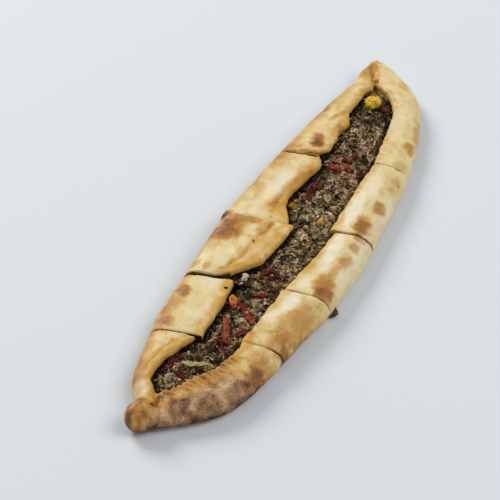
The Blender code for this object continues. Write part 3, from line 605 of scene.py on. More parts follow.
def kd_tree(points):
    """A search tree of points, each under its place in the list."""
    tree = KDTree(len(points))
    for i, point in enumerate(points.tolist()):
        tree.insert(point, i)
    tree.balance()
    return tree


def distances(points, targets):
    """Each point's distance to the nearest of some targets."""
    tree = kd_tree(targets)
    return np.array([tree.find(point)[2] for point in points.tolist()])


def path_distance(points, path):
    """Each point's distance from a path in plan."""
    plan = points[:, :2]
    nearest = np.full(len(plan), np.inf)
    for start, end in zip(path, path[1:]):
        start, end = np.array(start, float), np.array(end, float)
        along = end - start
        share = np.clip((plan - start) @ along / (along @ along), 0, 1)
        nearest = np.minimum(nearest, np.linalg.norm(plan - start - share[:, None] * along, axis=1))
    return nearest


def spot_shares(points, spots, ragged):
    """How much each point lies in each uneven oval spot: 1 well inside, and 0 outside."""
    drift = drift_at(points, *SPOT_DRIFT)
    for x, y, length, width, turn, depth in spots:
        away = points[:, :2] + drift - (x, y)
        c, s = math.cos(math.radians(turn)), math.sin(math.radians(turn))
        along = (away[:, 0] * c + away[:, 1] * s) / length
        across = (away[:, 1] * c - away[:, 0] * s) / width
        yield fade(np.hypot(along, across) - ragged, "spot"), depth


# ---------------------------------------------------------------- materials


def material(name, roughness, **sockets):
    """A new node material, with what is the same all over the surface set on its shader."""
    made = bpy.data.materials.new(name)
    made.use_nodes = True
    shader = made.node_tree.nodes["Principled BSDF"]
    shader.inputs["Roughness"].default_value = roughness
    for socket, value in sockets.items():
        shader.inputs[socket.replace("_", " ").title().replace("Ior", "IOR")].default_value = value
    return made, made.node_tree, shader


def node(tree, kind, **settings):
    made = tree.nodes.new(kind)
    for key, value in settings.items():
        setattr(made, key, value)
    return made


def noise_texture(tree, size, detail=3.0, stretch=(1, 1, 1)):
    """Noise with lumps of a size in millimetres, on the object's own coordinates."""
    place = node(tree, "ShaderNodeTexCoord")
    mapping = node(tree, "ShaderNodeMapping")
    mapping.inputs["Scale"].default_value = [1 / (size * MM * s) for s in stretch]
    texture = node(tree, "ShaderNodeTexNoise")
    texture.inputs["Scale"].default_value = 1.0
    texture.inputs["Detail"].default_value = detail
    tree.links.new(place.outputs["Object"], mapping.inputs["Vector"])
    tree.links.new(mapping.outputs["Vector"], texture.inputs["Vector"])
    return texture.outputs["Fac"]


def calculate(tree, operation, a, b, clamp=False):
    """A sum, product or the like of two sockets or numbers."""
    made = node(tree, "ShaderNodeMath", operation=operation, use_clamp=clamp)
    for socket, value in zip(made.inputs, (a, b)):
        if isinstance(value, (int, float)):
            socket.default_value = value
        else:
            tree.links.new(value, socket)
    return made.outputs[0]


def wobble(tree, value, texture, amount):
    """A value with noise added, as much up as down."""
    centred = calculate(tree, "SUBTRACT", texture, 0.5)
    return calculate(tree, "ADD", value, calculate(tree, "MULTIPLY", centred, amount))


def patches(tree, texture, start, contrast):
    """Where a noise is above a start, from 0 to 1."""
    above = calculate(tree, "SUBTRACT", texture, start)
    return calculate(tree, "MULTIPLY", above, contrast, clamp=True)


def stored(tree, name):
    return node(tree, "ShaderNodeAttribute", attribute_name=name).outputs["Fac"]


def linear(colour):
    """A colour written as 0 to 255 on screen, as the shader's own numbers."""
    parts = [c / 255 for c in colour]
    return [c / 12.92 if c <= 0.04045 else ((c + 0.055) / 1.055) ** 2.4 for c in parts] + [1.0]


def ramp(tree, value, stops):
    """A blend of colours along a value, from (position, colour) stops."""
    made = node(tree, "ShaderNodeValToRGB")
    band = made.color_ramp
    band.elements[0].position, band.elements[1].position = stops[0][0], stops[-1][0]
    band.elements[0].color, band.elements[1].color = linear(stops[0][1]), linear(stops[-1][1])
    for position, colour in stops[1:-1]:
        band.elements.new(position).color = linear(colour)
    tree.links.new(value, made.inputs["Fac"])
    return made.outputs["Color"]


def mix(tree, share, first, second):
    """A blend of two colours: the first a socket, and the second a socket or a screen colour."""
    made = node(tree, "ShaderNodeMix", data_type="RGBA")
    factor, a, b = made.inputs["Factor"], made.inputs[6], made.inputs[7]
    for socket, value in ((factor, share), (a, first), (b, second)):
        if isinstance(value, tuple):
            socket.default_value = linear(value)
        else:
            tree.links.new(value, socket)
    return made.outputs[2]


def bump(tree, shader, height, strength, distance):
    made = node(tree, "ShaderNodeBump")
    made.inputs["Strength"].default_value = strength
    made.inputs["Distance"].default_value = distance * MM
    tree.links.new(height, made.inputs["Height"])
    tree.links.new(made.outputs["Normal"], shader.inputs["Normal"])


def dough_material():
    """Baked dough: cream, golden in its folds and brown in its blisters, with a fine matt grain. Its stored
    browning also holds painted shade, and its paleness painted highlights.
    """
    roughness = 0.46
    made, tree, shader = material(
        "baked_dough", roughness, subsurface_weight=0.06, subsurface_scale=0.003, specular_ior_level=0.30)
    shader.inputs["Subsurface Radius"].default_value = (1.0, 0.7, 0.4)
    broad = noise_texture(tree, size=5.0, detail=4.0)
    fine = noise_texture(tree, size=0.9)
    grain = noise_texture(tree, size=1.1, stretch=(0.6, 1.7, 1.3))
    fleck = patches(tree, noise_texture(tree, size=2.1, detail=2.0), start=0.60, contrast=1.6)
    # The stored browning holds real browning and painted shade alike.
    browning_and_shade = wobble(tree, stored(tree, "bake"), broad, amount=0.22)
    browning_and_shade = calculate(tree, "ADD", wobble(tree, browning_and_shade, fine, amount=0.10), fleck)
    strokes = calculate(tree, "MULTIPLY", stored(tree, "grain"), calculate(tree, "SUBTRACT", grain, 0.5))
    strokes = calculate(tree, "MULTIPLY", strokes, 0.70)
    browning_and_shade = calculate(tree, "ADD", browning_and_shade, strokes, clamp=True)
    baked = ramp(tree, browning_and_shade, DOUGH_COLOURS)
    baked = mix(tree, stored(tree, "rosy"), baked, ramp(tree, browning_and_shade, FLOURY_COLOURS))
    uneven = wobble(tree, wobble(tree, 1.0, broad, amount=1.2), fine, amount=0.5)
    golden = calculate(tree, "MULTIPLY", stored(tree, "gold"), uneven, clamp=True)
    colour = mix(tree, golden, baked, ramp(tree, browning_and_shade, GOLDEN_COLOURS))
    # Pale dough and painted highlights, blended towards whitish.
    colour = mix(tree, wobble(tree, stored(tree, "pale_and_highlight"), broad, amount=0.2), colour, WHITISH_AND_HIGHLIGHT)
    tree.links.new(colour, shader.inputs["Base Color"])
    tree.links.new(wobble(tree, roughness, broad, amount=0.18), shader.inputs["Roughness"])
    height = calculate(tree, "ADD", fine, calculate(tree, "MULTIPLY", broad, 1.8))
    bump(tree, shader, height, strength=0.6, distance=0.26)
    return made


def mince_material():
    """Mince and leaf: mottled from near black to beige, redder by the pepper, dark at the rims with oil and
    painted shade.
    """
    made, tree, shader = material("mince_and_leaf", 0.5, specular_ior_level=0.14)
    fine = noise_texture(tree, size=1.2, detail=2.0)
    broad = noise_texture(tree, size=3.2)
    tone = wobble(tree, wobble(tree, stored(tree, "tone"), fine, amount=1.15), broad, amount=0.40)
    pinkish = patches(tree, noise_texture(tree, size=4.5, detail=2.0), start=0.48, contrast=4.0)
    leafy = patches(tree, noise_texture(tree, size=3.1, detail=4.0), start=0.54, contrast=9.0)
    colour = ramp(tree, tone, MINCE_COLOURS)
    for share, colours in (
            (pinkish, PINKISH_COLOURS), (leafy, GREENISH_COLOURS), (stored(tree, "redness"), REDDISH_COLOURS),
            (stored(tree, "oil_and_shade"), OIL_AND_SHADE_COLOURS), (stored(tree, "dough"), SOAKED_DOUGH_COLOURS)):
        colour = mix(tree, share, colour, ramp(tree, tone, colours))
    tree.links.new(colour, shader.inputs["Base Color"])
    bump(tree, shader, fine, strength=0.6, distance=0.25)
    return made


def bit_material(name, colours, roughness):
    """Bits of many tones: each bit's own tone runs along a blend of colours, with fine mottling."""
    made, tree, shader = material(name, roughness, specular_ior_level=0.10)
    fine = noise_texture(tree, size=0.5)
    colour = ramp(tree, wobble(tree, stored(tree, "tone"), fine, amount=0.35), colours)
    tree.links.new(colour, shader.inputs["Base Color"])
    bump(tree, shader, fine, strength=0.4, distance=0.15)
    return made


def piece_material(name, dark, main, light, size, roughness):
    """A soft cooked piece, shaded from dark to light along its length and mottled, with a moist surface."""
    made, tree, shader = material(
        name, roughness, subsurface_weight=0.12, subsurface_scale=0.002, specular_ior_level=0.12)
    broad = noise_texture(tree, size)
    fine = noise_texture(tree, size / 5)
    tone = wobble(tree, wobble(tree, stored(tree, "shade"), broad, amount=0.9), fine, amount=0.35)
    colour = ramp(tree, tone, ((0.0, dark), (0.5, main), (1.0, light)))
    tree.links.new(colour, shader.inputs["Base Color"])
    tree.links.new(wobble(tree, roughness, fine, amount=0.3), shader.inputs["Roughness"])
    bump(tree, shader, wobble(tree, fine, broad, amount=1.0), strength=0.5, distance=0.25)
    return made


# ---------------------------------------------------------------- dough


def middle_at(x):
    """The opening's middle line at each x."""
    return along_table(x, OPENING_MIDDLE)


class Crust:
    """A slice's dough as it is shaped: its points, where they lie, and their lift, colour and painted shade
    so far.
    """

    def __init__(self, number):
        self.item = fine_copy(f"crust_{number}", f"bread_{number}", DOUGH_FACE, DOUGH_SMOOTHING)
        self.points, self.normals = points_of(self.item.data), normals_of(self.item.data)
        self.x, self.y, self.z = self.points.T
        self.up = self.normals[:, 2]
        self.far = self.y > middle_at(self.x)
        self.near = ~self.far
        self.facing = self.normals[:, 1] * np.sign(middle_at(self.x) - self.y)
        self.free = smooth_step(self.z / SOLE_HEIGHT)
        self.top = fade(self.up, "top") * (self.z > TOP_HEIGHT)
        inward, lowest, lean = LIP_EDGE
        edge = (self.facing > inward) & (self.z > lowest) & (self.up > lean)
        self.lips = distances(self.points, self.points[edge])
        self.mottle = noisy(self.points, "mottle")
        self.speckle = noisy(self.points, "speckle")
        self.lift = relief_at(self.points, DOUGH_RELIEF, seed=1.0)
        self.bake = self.gold = self.pale_and_highlight = np.zeros(len(self.points))
        self.unspotted = np.ones(len(self.points))
        self.brown_gild_and_shade("dough", self.unspotted)

    def patchy(self, usual, change):
        """A strength that changes in small patches."""
        return usual + change * self.speckle

    def brown_gild_and_shade(self, part, share):
        """Brown and gild a part of the dough, as far as each point belongs to it; some parts' browning is
        painted shade.
        """
        browning_and_shade, gold, small, broad = (*DOUGH_TONES_AND_SHADE[part], 0, 0, 0)[:4]
        self.bake = self.bake + share * (browning_and_shade + broad * self.mottle + small * self.speckle)
        self.gold = self.gold + share * gold

    def on_near_rim(self, part):
        """How far each point belongs to a part of the near rim's outside."""
        along = fade(self.x, f"{part}_from") * fade(self.x, f"{part}_to")
        return along * fade(middle_at(self.x) - self.y, "near_rim") * fade(self.up, "not_down")


def brown_spots(crust, ragged):
    """The brown spots, blistered a little, and the pale places between them, some painted highlights."""
    unbrowned = 1 - np.clip(crust.bake, 0, 1)
    for share, depth in spot_shares(crust.points, SPOTS, ragged):
        crust.unspotted = crust.unspotted * (1 - depth * share * (crust.z > SPOT_FOOT))
        crust.lift = crust.lift + BLISTER_HEIGHT * depth * share * crust.top
    crust.bake = 1 - unbrowned * crust.unspotted
    # Pale places: unbrowned dough, and painted highlights along the near rim's crest.
    for share, strength in spot_shares(crust.points, PALE_AND_HIGHLIGHT_PLACES, PALE_RAGGED * ragged):
        crust.pale_and_highlight = np.maximum(crust.pale_and_highlight, strength * share * crust.top * crust.unspotted ** 2)


def gild(crust, lip_gold, ragged):
    """The golden band along the lips, and the broad golden places."""
    far_width, far_gold, near_width, near_gold = lip_gold
    band = np.where(crust.far, far_width, near_width) * crust.patchy(*BAND_PATCHES)
    gold = np.where(crust.far, far_gold, near_gold) * np.exp(-(crust.lips / band) ** 3)
    crust.gold = crust.gold + gold * crust.patchy(*LIP_PATCHES)
    crust.brown_gild_and_shade("flush", np.clip(noisy(crust.points, "flush"), 0, 1))
    for share, strength in spot_shares(crust.points, GOLD_PLACES, GOLD_RAGGED * ragged):
        crust.gold = crust.gold + strength * share * crust.patchy(*GOLD_PATCHES)


def crease(crust):
    """The creases, sunk, browned and darkened with painted shade, with gold along them."""
    wavy = crust.points + drift_at(crust.points, *CREASE_DRIFT)
    shown = np.where(crust.x < KNOB_START, crust.free, crust.top)
    for depth, width, gold, browning_and_shade, path in CREASES:
        away = path_distance(wavy, path)
        sunk = np.exp(-(away / width) ** 2) * shown
        gilded = np.exp(-(away / (CREASE_GOLD_WIDTH * width)) ** 2) * shown
        crust.lift = crust.lift - depth * sunk
        # Browning and painted shade in the crease.
        crust.bake = crust.bake + browning_and_shade * sunk
        crust.gold = crust.gold + gold * gilded * crust.patchy(*CREASE_PATCHES)


def rumple_lips(crust):
    """The lips' rumples and brown specks."""
    on_lips = np.exp(-(crust.lips / RUMPLE_WIDTH) ** 2)
    crust.lift = crust.lift + RUMPLE_HEIGHT * noisy(crust.points, "rumple") * on_lips
    crust.brown_gild_and_shade("lip_specks", np.clip(noisy(crust.points, "lip_specks") - SPECK_START, 0, 1) * on_lips)


def ripple_rim(crust):
    """The ripples across the near rim. Gives how far each point belongs to them."""
    rippled = crust.on_near_rim("ripples")
    lean = np.interp(crust.x, LEAN_STATIONS, np.gradient(middle_at(LEAN_STATIONS)))
    run = crust.x + lean * crust.y * RIPPLE_LEAN + RIPPLE_DRIFT * noisy(crust.points, "ripple_drift")
    ripple = np.sin(math.tau * run / RIPPLE_PITCH) * crust.patchy(*RIPPLE_PATCHES)
    banded = rippled * np.exp(-(crust.lips / RIPPLE_WIDTH) ** 4)
    crust.lift = crust.lift + RIPPLE_HEIGHT * ripple * banded
    crust.brown_gild_and_shade("ripples", rippled)
    crust.brown_gild_and_shade("ripple_band", banded)
    crust.brown_gild_and_shade("ripple_crests", banded * ripple)
    return rippled


def colour_knob(crust):
    """The knob's browner and more golden ball, with painted shade towards its foot. Gives how far each point
    belongs to it.
    """
    out = (crust.points - KNOB_MIDDLE) / KNOB_RADII
    away = np.linalg.norm(out * (1, 1, KNOB_HEIGHT_SHARE), axis=1)
    reach = KNOB_REACH + KNOB_OUTER_REACH * fade(out[:, 0], "knob_outer") * fade(out[:, 1], "knob_far")
    knob = fade(away - reach, "knob_colour")
    crust.brown_gild_and_shade("knob", knob)
    # Painted shade: the knob darker towards its foot.
    crust.brown_gild_and_shade("knob_foot_shade", knob * fade(crust.z, "knob_foot_shade"))
    crust.brown_gild_and_shade("knob_specks", knob * noisy(crust.points, "knob_specks"))
    return knob


def dust_rim(crust, knob):
    """The dusty, streaked part of the near rim, with painted shade towards its foot. Gives how far each point
    belongs to it.
    """
    below = np.maximum(fade(crust.lips, "below_lips"), fade(crust.x, "dusty_knob"))
    dusty = crust.on_near_rim("dusty") * below * (1 - knob)
    crust.brown_gild_and_shade("dusty", dusty)
    crust.brown_gild_and_shade("dusty_end", dusty * fade(crust.x, "dusty_end"))
    # Painted shade: the dusty rim darker towards its foot.
    crust.brown_gild_and_shade("dusty_foot_shade", dusty * fade(crust.z, "dusty_foot_shade"))
    return dusty


def shade_sides(crust):
    """Painted shade, with gold, on the opening's walls; the outer sides; and the far rim's browned edge."""
    # Painted shade on the walls of the opening, with gold, less of it at the tip.
    inside = fade(crust.facing, "inward") * fade(crust.z, "inside_depth")
    inside = inside * (1 - TIP_INSIDE * fade(crust.x, "inside_tip"))
    crust.brown_gild_and_shade("far_inside_gold_and_shade", inside * crust.far)
    crust.brown_gild_and_shade("near_inside_gold_and_shade", inside * crust.near)
    outside = fade(-crust.facing, "outward") * fade(crust.z, "outside_foot")
    crust.brown_gild_and_shade("outside", outside)
    crust.brown_gild_and_shade("outside_end", outside * fade(crust.x, "outside_end"))
    rim = fade(-crust.facing, "rim_outward") * fade(crust.z, "rim_height") * crust.far
    crust.brown_gild_and_shade("far_rim", rim * (1 - TIP_RIM * fade(crust.x, "rim_tip")))
    whitish = SIDE_PALENESS * outside * crust.near * fade(crust.x, "whitish") * crust.unspotted
    crust.pale_and_highlight = np.maximum(crust.pale_and_highlight, whitish)


def brown_cuts(crust):
    """Gold and painted shade on the cut faces, the burnt drop and the sole. Gives how far each point
    belongs to the closed seam.
    """
    closed = fade(np.abs(crust.x - CLOSED_SEAM), "closed_seam") * fade(crust.y, "closed_rim") * crust.near
    cut = fade(np.abs(crust.normals[:, 0]), "cut_across") * (np.abs(crust.x) < CUTS_WITHIN)
    cut = cut * (1 - CLOSED_FAINTNESS * closed)
    # Gold and painted shade in the cuts' gaps: darker under the far flaps and towards the foot.
    crust.brown_gild_and_shade("cut", cut)
    crust.brown_gild_and_shade("far_cut_shade", cut * crust.far * fade(crust.z, "far_cut_shade"))
    crust.brown_gild_and_shade("near_cut_shade", cut * crust.near)
    crust.brown_gild_and_shade("cut_foot_shade", cut * fade(crust.z, "cut_foot_shade"))
    drop = fade(np.linalg.norm(crust.points - DROP_PLACE, axis=1), "drop")
    crust.brown_gild_and_shade("drop", drop)
    crust.pale_and_highlight = crust.pale_and_highlight * (1 - drop)
    crust.brown_gild_and_shade("sole", fade(crust.z, "sole"))
    return closed


def rounded_knob(crust):
    """The dough's points with the knob rounded, except where it joins the near rim."""
    out = (crust.points - KNOB_MIDDLE) / KNOB_RADII
    away = np.linalg.norm(out, axis=1)
    towards_rim = out[:, :2] @ TOWARDS_RIM / np.maximum(np.hypot(out[:, 0], out[:, 1]), 0.1)
    rounding = KNOB_ROUNDING * fade(away, "knob_rounding") * fade(crust.x, "knob_side") * crust.free
    rounding = rounding * (1 - fade(towards_rim, "knob_neck"))
    rounded = KNOB_MIDDLE + out / away[:, None] * KNOB_RADII
    return crust.points + (rounded - crust.points) * rounding[:, None]


def settled_points(crust, closed):
    """The dough's points, lifted, with its lips and sides set out and its sole flat."""
    points = rounded_knob(crust) + crust.normals * (crust.lift * crust.free)[:, None]
    far_move, near_move = (along_table(points[:, 0], table) for table in (FAR_LIP_MOVES, NEAR_LIP_MOVES))
    follows = np.exp(-(crust.lips / LIP_REACH) ** 2) * fade(points[:, 2], "lip_moves")
    points[:, 1] += np.where(crust.far, far_move, near_move) * follows
    stations, far_out, near_out = zip(*OUTER_MOVES)
    far_out, near_out = (np.interp(points[:, 0], stations, out) for out in (far_out, near_out))
    sideways = np.hypot(crust.normals[:, 0], crust.normals[:, 1])
    level = crust.normals[:, :2] / np.maximum(sideways, LEAST_SIDEWAYS)[:, None]
    out = np.where(crust.far, far_out, near_out) * fade(-crust.facing, "side_outward")
    points[:, :2] += level * out[:, None]
    for x, y, radius, along, across in PUSHES:
        near = np.exp(-((points[:, 0] - x) ** 2 + (points[:, 1] - y) ** 2) / radius ** 2)
        near = near * fade(points[:, 2], "pushes")
        points = points + near[:, None] * (along, across, 0)
    points[:, 0] += CLOSED_PRESS * closed * crust.free * crust.normals[:, 0]
    height, downward = SOLE_FLAT
    flat = (points[:, 2] < height) & (crust.up < downward)
    points[:, 2] = np.where(flat, 0.0, np.maximum(points[:, 2], 0.0))
    return points


def shape_bread(number):
    """A slice's dough: the crust's form with lumps, blisters, creases and ripples."""
    crust = Crust(number)
    coarse, fine = SPOT_RAGGED
    ragged = coarse * noisy(crust.points, "ragged") + fine * noisy(crust.points, "ragged_fine")
    brown_spots(crust, ragged)
    gild(crust, LIP_GOLD[number - 1], ragged)
    crease(crust)
    rumple_lips(crust)
    rippled = ripple_rim(crust)
    dusty = dust_rim(crust, colour_knob(crust))
    shade_sides(crust)
    closed = brown_cuts(crust)

    bread = crust.item
    move_points(bread.data, settled_points(crust, closed))
    set_value(bread.data, "bake", crust.bake)
    set_value(bread.data, "gold", crust.gold)
    set_value(bread.data, "grain", dusty + RIPPLE_GRAIN * rippled)
    set_value(bread.data, "rosy", dusty)
    set_value(bread.data, "pale_and_highlight", crust.pale_and_highlight * crust.patchy(*PALE_PATCHES))
    bread.data.materials.append(DOUGH)
    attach(bread, "root")
    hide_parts(f"crust_{number}")
    return bread


# ---------------------------------------------------------------- filling


def tree_of(items):
    """What a ray can hit: the faces of some meshes, in millimetres, and the item that owns each."""
    corners, faces, owners = [], [], []
    for item in items:
        start = len(corners)
        corners.extend(points_of(item.data).tolist())
        for polygon in item.data.polygons:
            faces.append([start + i for i in polygon.vertices])
            owners.append(item.name)
    return BVHTree.FromPolygons(corners, faces), owners


def ground_at(tree, x, y):
    """What a plumb line at x and y meets: its place, the way that it faces, and the face's number."""
    return tree.ray_cast(Vector((x, y, PLUMB_HEIGHT)), Vector((0, 0, -1)))[:3]


def scattered(points, size, draw):
    """Some of a surface's points, one to each cell of a grid, as the middles of clumps."""
    order = np.array(draw.sample(range(len(points)), len(points)))
    _, first = np.unique(np.floor(points[order] / size).astype(int), axis=0, return_index=True)
    return points[order[first]]


def nearest_two(points, middles):
    """Each point's distances to the two nearest middles."""
    tree = kd_tree(middles)
    return np.array([[found[2] for found in tree.find_n(point, 2)] for point in points.tolist()]).T


def zone_values(points):
    """The filling's change of tone and its redness from place to place."""
    tone, red = np.zeros(len(points)), np.zeros(len(points))
    for x, y, radius, change, redness in FILLING_ZONES:
        near = np.exp(-(((points[:, 0] - x) ** 2 + (points[:, 1] - y) ** 2) / radius ** 2))
        tone += change * near
        red += redness * near
    return tone, np.clip(red, 0, 1)


def bed_tone(points, change):
    """How pale the mince is at points, before its fine mottling."""
    return BED_TONE + change + relief_at(points, BED_TONES, seed=14.0)


def shape_bed(number, draw):
    """A slice's filling: the node's form with soft clumps, and matted crumbs of mince and leaf."""
    bed = fine_copy(f"filling_{number}", f"filling_bed_{number}", BED_FACE, BED_SMOOTHING)
    mesh = bed.data
    points, normals = points_of(mesh), normals_of(mesh)
    top = fade(normals[:, 2], "bed_up") * fade(points[:, 2], "bed_height")
    drift = drift_at(points, *CLUMP_DRIFT)
    nearest, second = nearest_two(points + drift, scattered(points, CLUMP_SIZE, draw))
    parted = fade(second - nearest, "clump_gap")
    lift = CLUMP_HEIGHT * (parted - CLUMP_LEVEL) - BED_DROP
    crests = np.zeros(len(points))
    for i, (height, size) in enumerate(BED_RIDGES):
        ridges = ridges_at(points + RIDGE_DRIFT * drift, size, seed=5.0 + i)
        lift = lift + height * ridges
        crests = crests + ridges / len(BED_RIDGES)
    cavity = fade(points[:, 0], "cavity")
    lift = lift + BED_GRAIN * noisy(points, "bed_grain")
    lift = lift * (1 - CAVITY_FLATNESS * cavity) - CAVITY_DEPTH * cavity

    change, red = zone_values(points)
    tone = bed_tone(points, change) + CREST_TONE * (crests - CREST_LEVEL)
    # Painted shade in the gaps between clumps.
    tone = tone * (1 - GAP_SHADE * (1 - parted))
    edge = np.array([CRUSTS.find_nearest(point)[3] for point in points.tolist()])
    move_points(mesh, points + normals * (lift * top)[:, None])
    shadowed = fade(edge, "shadowed") * (points[:, 1] > middle_at(points[:, 0]))
    red_patches = fade(noisy(points, "red_patches"), "red_patches")
    doughy, scraps = CAVITY_DOUGH
    set_value(mesh, "tone", tone * (1 - SHADE_DARKNESS * shadowed) + CAVITY_TONE * cavity)
    set_value(mesh, "redness", red * (LEAST_REDNESS + (1 - LEAST_REDNESS) * red_patches))
    # Oil stains and painted shade: the filling darker near the dough.
    set_value(mesh, "oil_and_shade", fade(edge, "oil_and_shade_reach"))
    set_value(mesh, "dough", cavity * (doughy + scraps * noisy(points, "dough_scraps")))
    mesh.materials.append(MINCE)
    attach(bed, "root")
    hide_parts(f"filling_{number}")
    return bed


def shape_strip(points, normals):
    """A strip's points with its top flattened and hollowed, and how near its side each lies."""
    plan = points * (1, 1, 0)
    inward = distances(plan, plan[np.abs(normals[:, 2]) < STRIP_SIDE])
    above = np.maximum(points[:, 2] - np.median(points[:, 2]), 0)
    shaped = points + drift_at(plan, *STRIP_DRIFT)
    shaped[:, 2] -= above * STRIP_FLATTENING
    shaped[:, 2] -= STRIP_HOLLOW * fade(inward, "strip_hollow") * (above > HOLLOW_START)
    return shaped, fade(inward, "strip_edge")


def shape_piece(node_name, slot):
    """A strip or lump in the filling: the node's form with the uneven surface of cooked food."""
    lump = node_name.startswith("cheese")
    piece = fine_copy(node_name, f"cooked_{node_name}", PIECE_FACE, PIECE_SMOOTHING)
    mesh = piece.data
    points, normals = points_of(mesh), normals_of(mesh)
    centred = points[:, :2] - points[:, :2].mean(axis=0)
    along, across = (centred @ axis for axis in np.linalg.svd(centred, full_matrices=False)[2])
    along = along * np.sign((along * centred[:, 0]).sum())
    first, last = PIECE_TONES[node_name]
    shade = np.interp(along, (along.min(), along.max()), (last, first))
    if not lump:
        strength, length, width = STRIP_STREAKS
        run = np.stack([along / length, across / width, 0 * along], axis=1)
        points, edge = shape_strip(points, normals)
        darkness, change = STRIP_EDGE_TONES
        shade = shade + strength * noisy(run, "strip_streaks")
        shade = shade + edge * (darkness + change * noisy(points, "strip_edge"))
        move_points(mesh, points)
        normals = normals_of(mesh)
    lift = relief_at(points, LUMP_RELIEF if lump else PIECE_RELIEF, seed=5.0)
    move_points(mesh, points + normals * lift[:, None])
    set_value(mesh, "shade", shade)
    mesh.materials.append(FINISHES[slot])
    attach(piece, "root")
    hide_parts(node_name)


# ---------------------------------------------------------------- loose bits


def template(shape):
    """A small shape's points and faces, the faces in a settled order, to be repeated."""
    shape.verts.index_update()
    points = np.array([vert.co for vert in shape.verts])
    faces = sorted([vert.index for vert in face.verts] for face in shape.faces)
    shape.free()
    return points, faces


def knobs_at(place, height, closeness, seed):
    """How much further out a bit's point lies for its knobs."""
    return 1 + height * noise.noise(place * closeness + Vector((seed, 0, 0)))


def crumb_shape(seed, detail):
    """A knobbly crumb, 2 across."""
    shape = bmesh.new()
    bmesh.ops.create_icosphere(shape, subdivisions=detail, radius=1.0)
    for vert in shape.verts:
        vert.co *= knobs_at(vert.co, *CRUMB_KNOBS, seed)
    return template(shape)


def leaf_shape(seed):
    """A torn shred of leaf, 2 long, crinkled and a little thick."""
    usual, change = LEAF_WIDTH
    height, pace = LEAF_WAVE
    shape = bmesh.new()
    bmesh.ops.create_grid(shape, x_segments=6, y_segments=3, size=1.0)
    for vert in shape.verts:
        x, y = vert.co.x, vert.co.y
        width = usual + change * noise.noise(Vector((x * 2.4, seed, y)))
        crinkle = LEAF_CRINKLE * noise.noise(Vector((x * 1.9, y * 2.4, seed)))
        vert.co.y *= (1 - LEAF_NARROWING * x * x) * width
        vert.co.y += LEAF_BEND * noise.noise(Vector((x * 1.1, seed, 7)))
        vert.co.z = crinkle + height * math.sin(pace * x + seed)
    bmesh.ops.solidify(shape, geom=shape.faces[:], thickness=LEAF_THICKNESS)
    bmesh.ops.recalc_face_normals(shape, faces=shape.faces)
    return template(shape)


def chip_shape(seed):
    """A small cut piece of pepper, 2 long, bent, with soft edges."""
    shape = bmesh.new()
    bmesh.ops.create_cube(shape, size=2.0)
    bmesh.ops.subdivide_edges(shape, edges=shape.edges, cuts=1, use_grid_fill=True)
    for vert in shape.verts:
        x = vert.co.x
        vert.co = vert.co.lerp(vert.co.normalized() * CHIP_RADIUS, CHIP_ROUNDING)
        vert.co *= knobs_at(vert.co, *CHIP_KNOBS, seed)
        vert.co.z += CHIP_TWIST * noise.noise(Vector((x * 0.9, seed, 0.5))) - CHIP_BOW * x * x
    return template(shape)


def scatter(name, shapes, places, finish):
    """One piece made of many bits, each a shape laid at its place; places give the bit's numbers."""
    points, faces, tones, spots = [], [], [], []
    start = 0
    for i, (spot, up, size, turn, tilt, tone) in enumerate(places):
        shape_points, shape_faces = shapes[i % len(shapes)]
        lie = up.to_track_quat("Z", "X") @ Euler((*tilt, turn)).to_quaternion()
        points.append((shape_points * size) @ np.array(lie.to_matrix()).T + np.array(spot))
        faces.extend([[start + k for k in face] for face in shape_faces])
        tones.append(np.full(len(shape_points), tone))
        spots.append(np.tile(spot, (len(shape_points), 1)))
        start += len(shape_points)
    mesh = bpy.data.meshes.new(name)
    mesh.from_pydata((np.concatenate(points) * MM).tolist(), [], faces)
    mesh.validate()
    mesh.shade_smooth()
    tone, spots = np.concatenate(tones), np.concatenate(spots)
    change, red = zone_values(spots)
    if finish == MINCE:
        tone = tone + bed_tone(spots, change)
    set_value(mesh, "tone", tone)
    set_value(mesh, "redness", red * CRUMB_REDNESS)
    mesh.materials.append(finish)
    piece = link(name, mesh)
    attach(piece, "root")


def wander(draw, amount):
    return draw.uniform(-amount, amount)


def place_on_filling(x, y, keep):
    """Where a bit that falls at x and y lies: on the filling or, if it is kept there, on a piece."""
    hit, _, face = ground_at(NODES, x, y)
    owner = "" if hit is None else NODE_OWNERS[face]
    on_filling = owner.startswith("filling")
    if not (on_filling or (keep and owner.startswith(("pepper", "onion")))):
        return None
    ground, up, _ = ground_at(BEDS, x, y)
    if ground is None or ground.z <= LOWEST_BED or x >= CAVITY_EDGE:
        return None
    height = ground.z if on_filling else max(ground.z, hit.z - BIT_SINK)
    return Vector((x, y, height)), up


def opening_places(draw, spacing, on_pieces):
    """Places on the filling that show in the opening: a jittered grid, dropped on what lies below."""
    low, high = Vector(CAD_BOX[0]) / MM, Vector(CAD_BOX[1]) / MM
    x = low.x
    while x < high.x:
        middle = float(middle_at(x))
        y = middle - OPENING_REACH
        while y < middle + OPENING_REACH:
            strayed_x = x + wander(draw, GRID_STRAY) * spacing
            strayed_y = y + wander(draw, GRID_STRAY) * spacing
            place = place_on_filling(strayed_x, strayed_y, draw.random() < on_pieces)
            if place:
                yield place
            y += spacing
        x += spacing


def mince_places(draw, spacing, widths, on_pieces):
    """Crumbs of mince, turned any way and sunk by half, each nearly of the tone around it."""
    for spot, up in opening_places(draw, spacing, on_pieces):
        width = draw.uniform(*widths)
        size = (width * draw.uniform(*MINCE_LENGTHS), width, width * draw.uniform(*MINCE_HEIGHTS))
        tone = draw.gauss(*MINCE_TONES)
        turn = draw.uniform(0, math.tau)
        tilt = (wander(draw, MINCE_TILT), wander(draw, MINCE_TILT))
        yield spot - up * width * MINCE_SINK, up, size, turn, tilt, tone


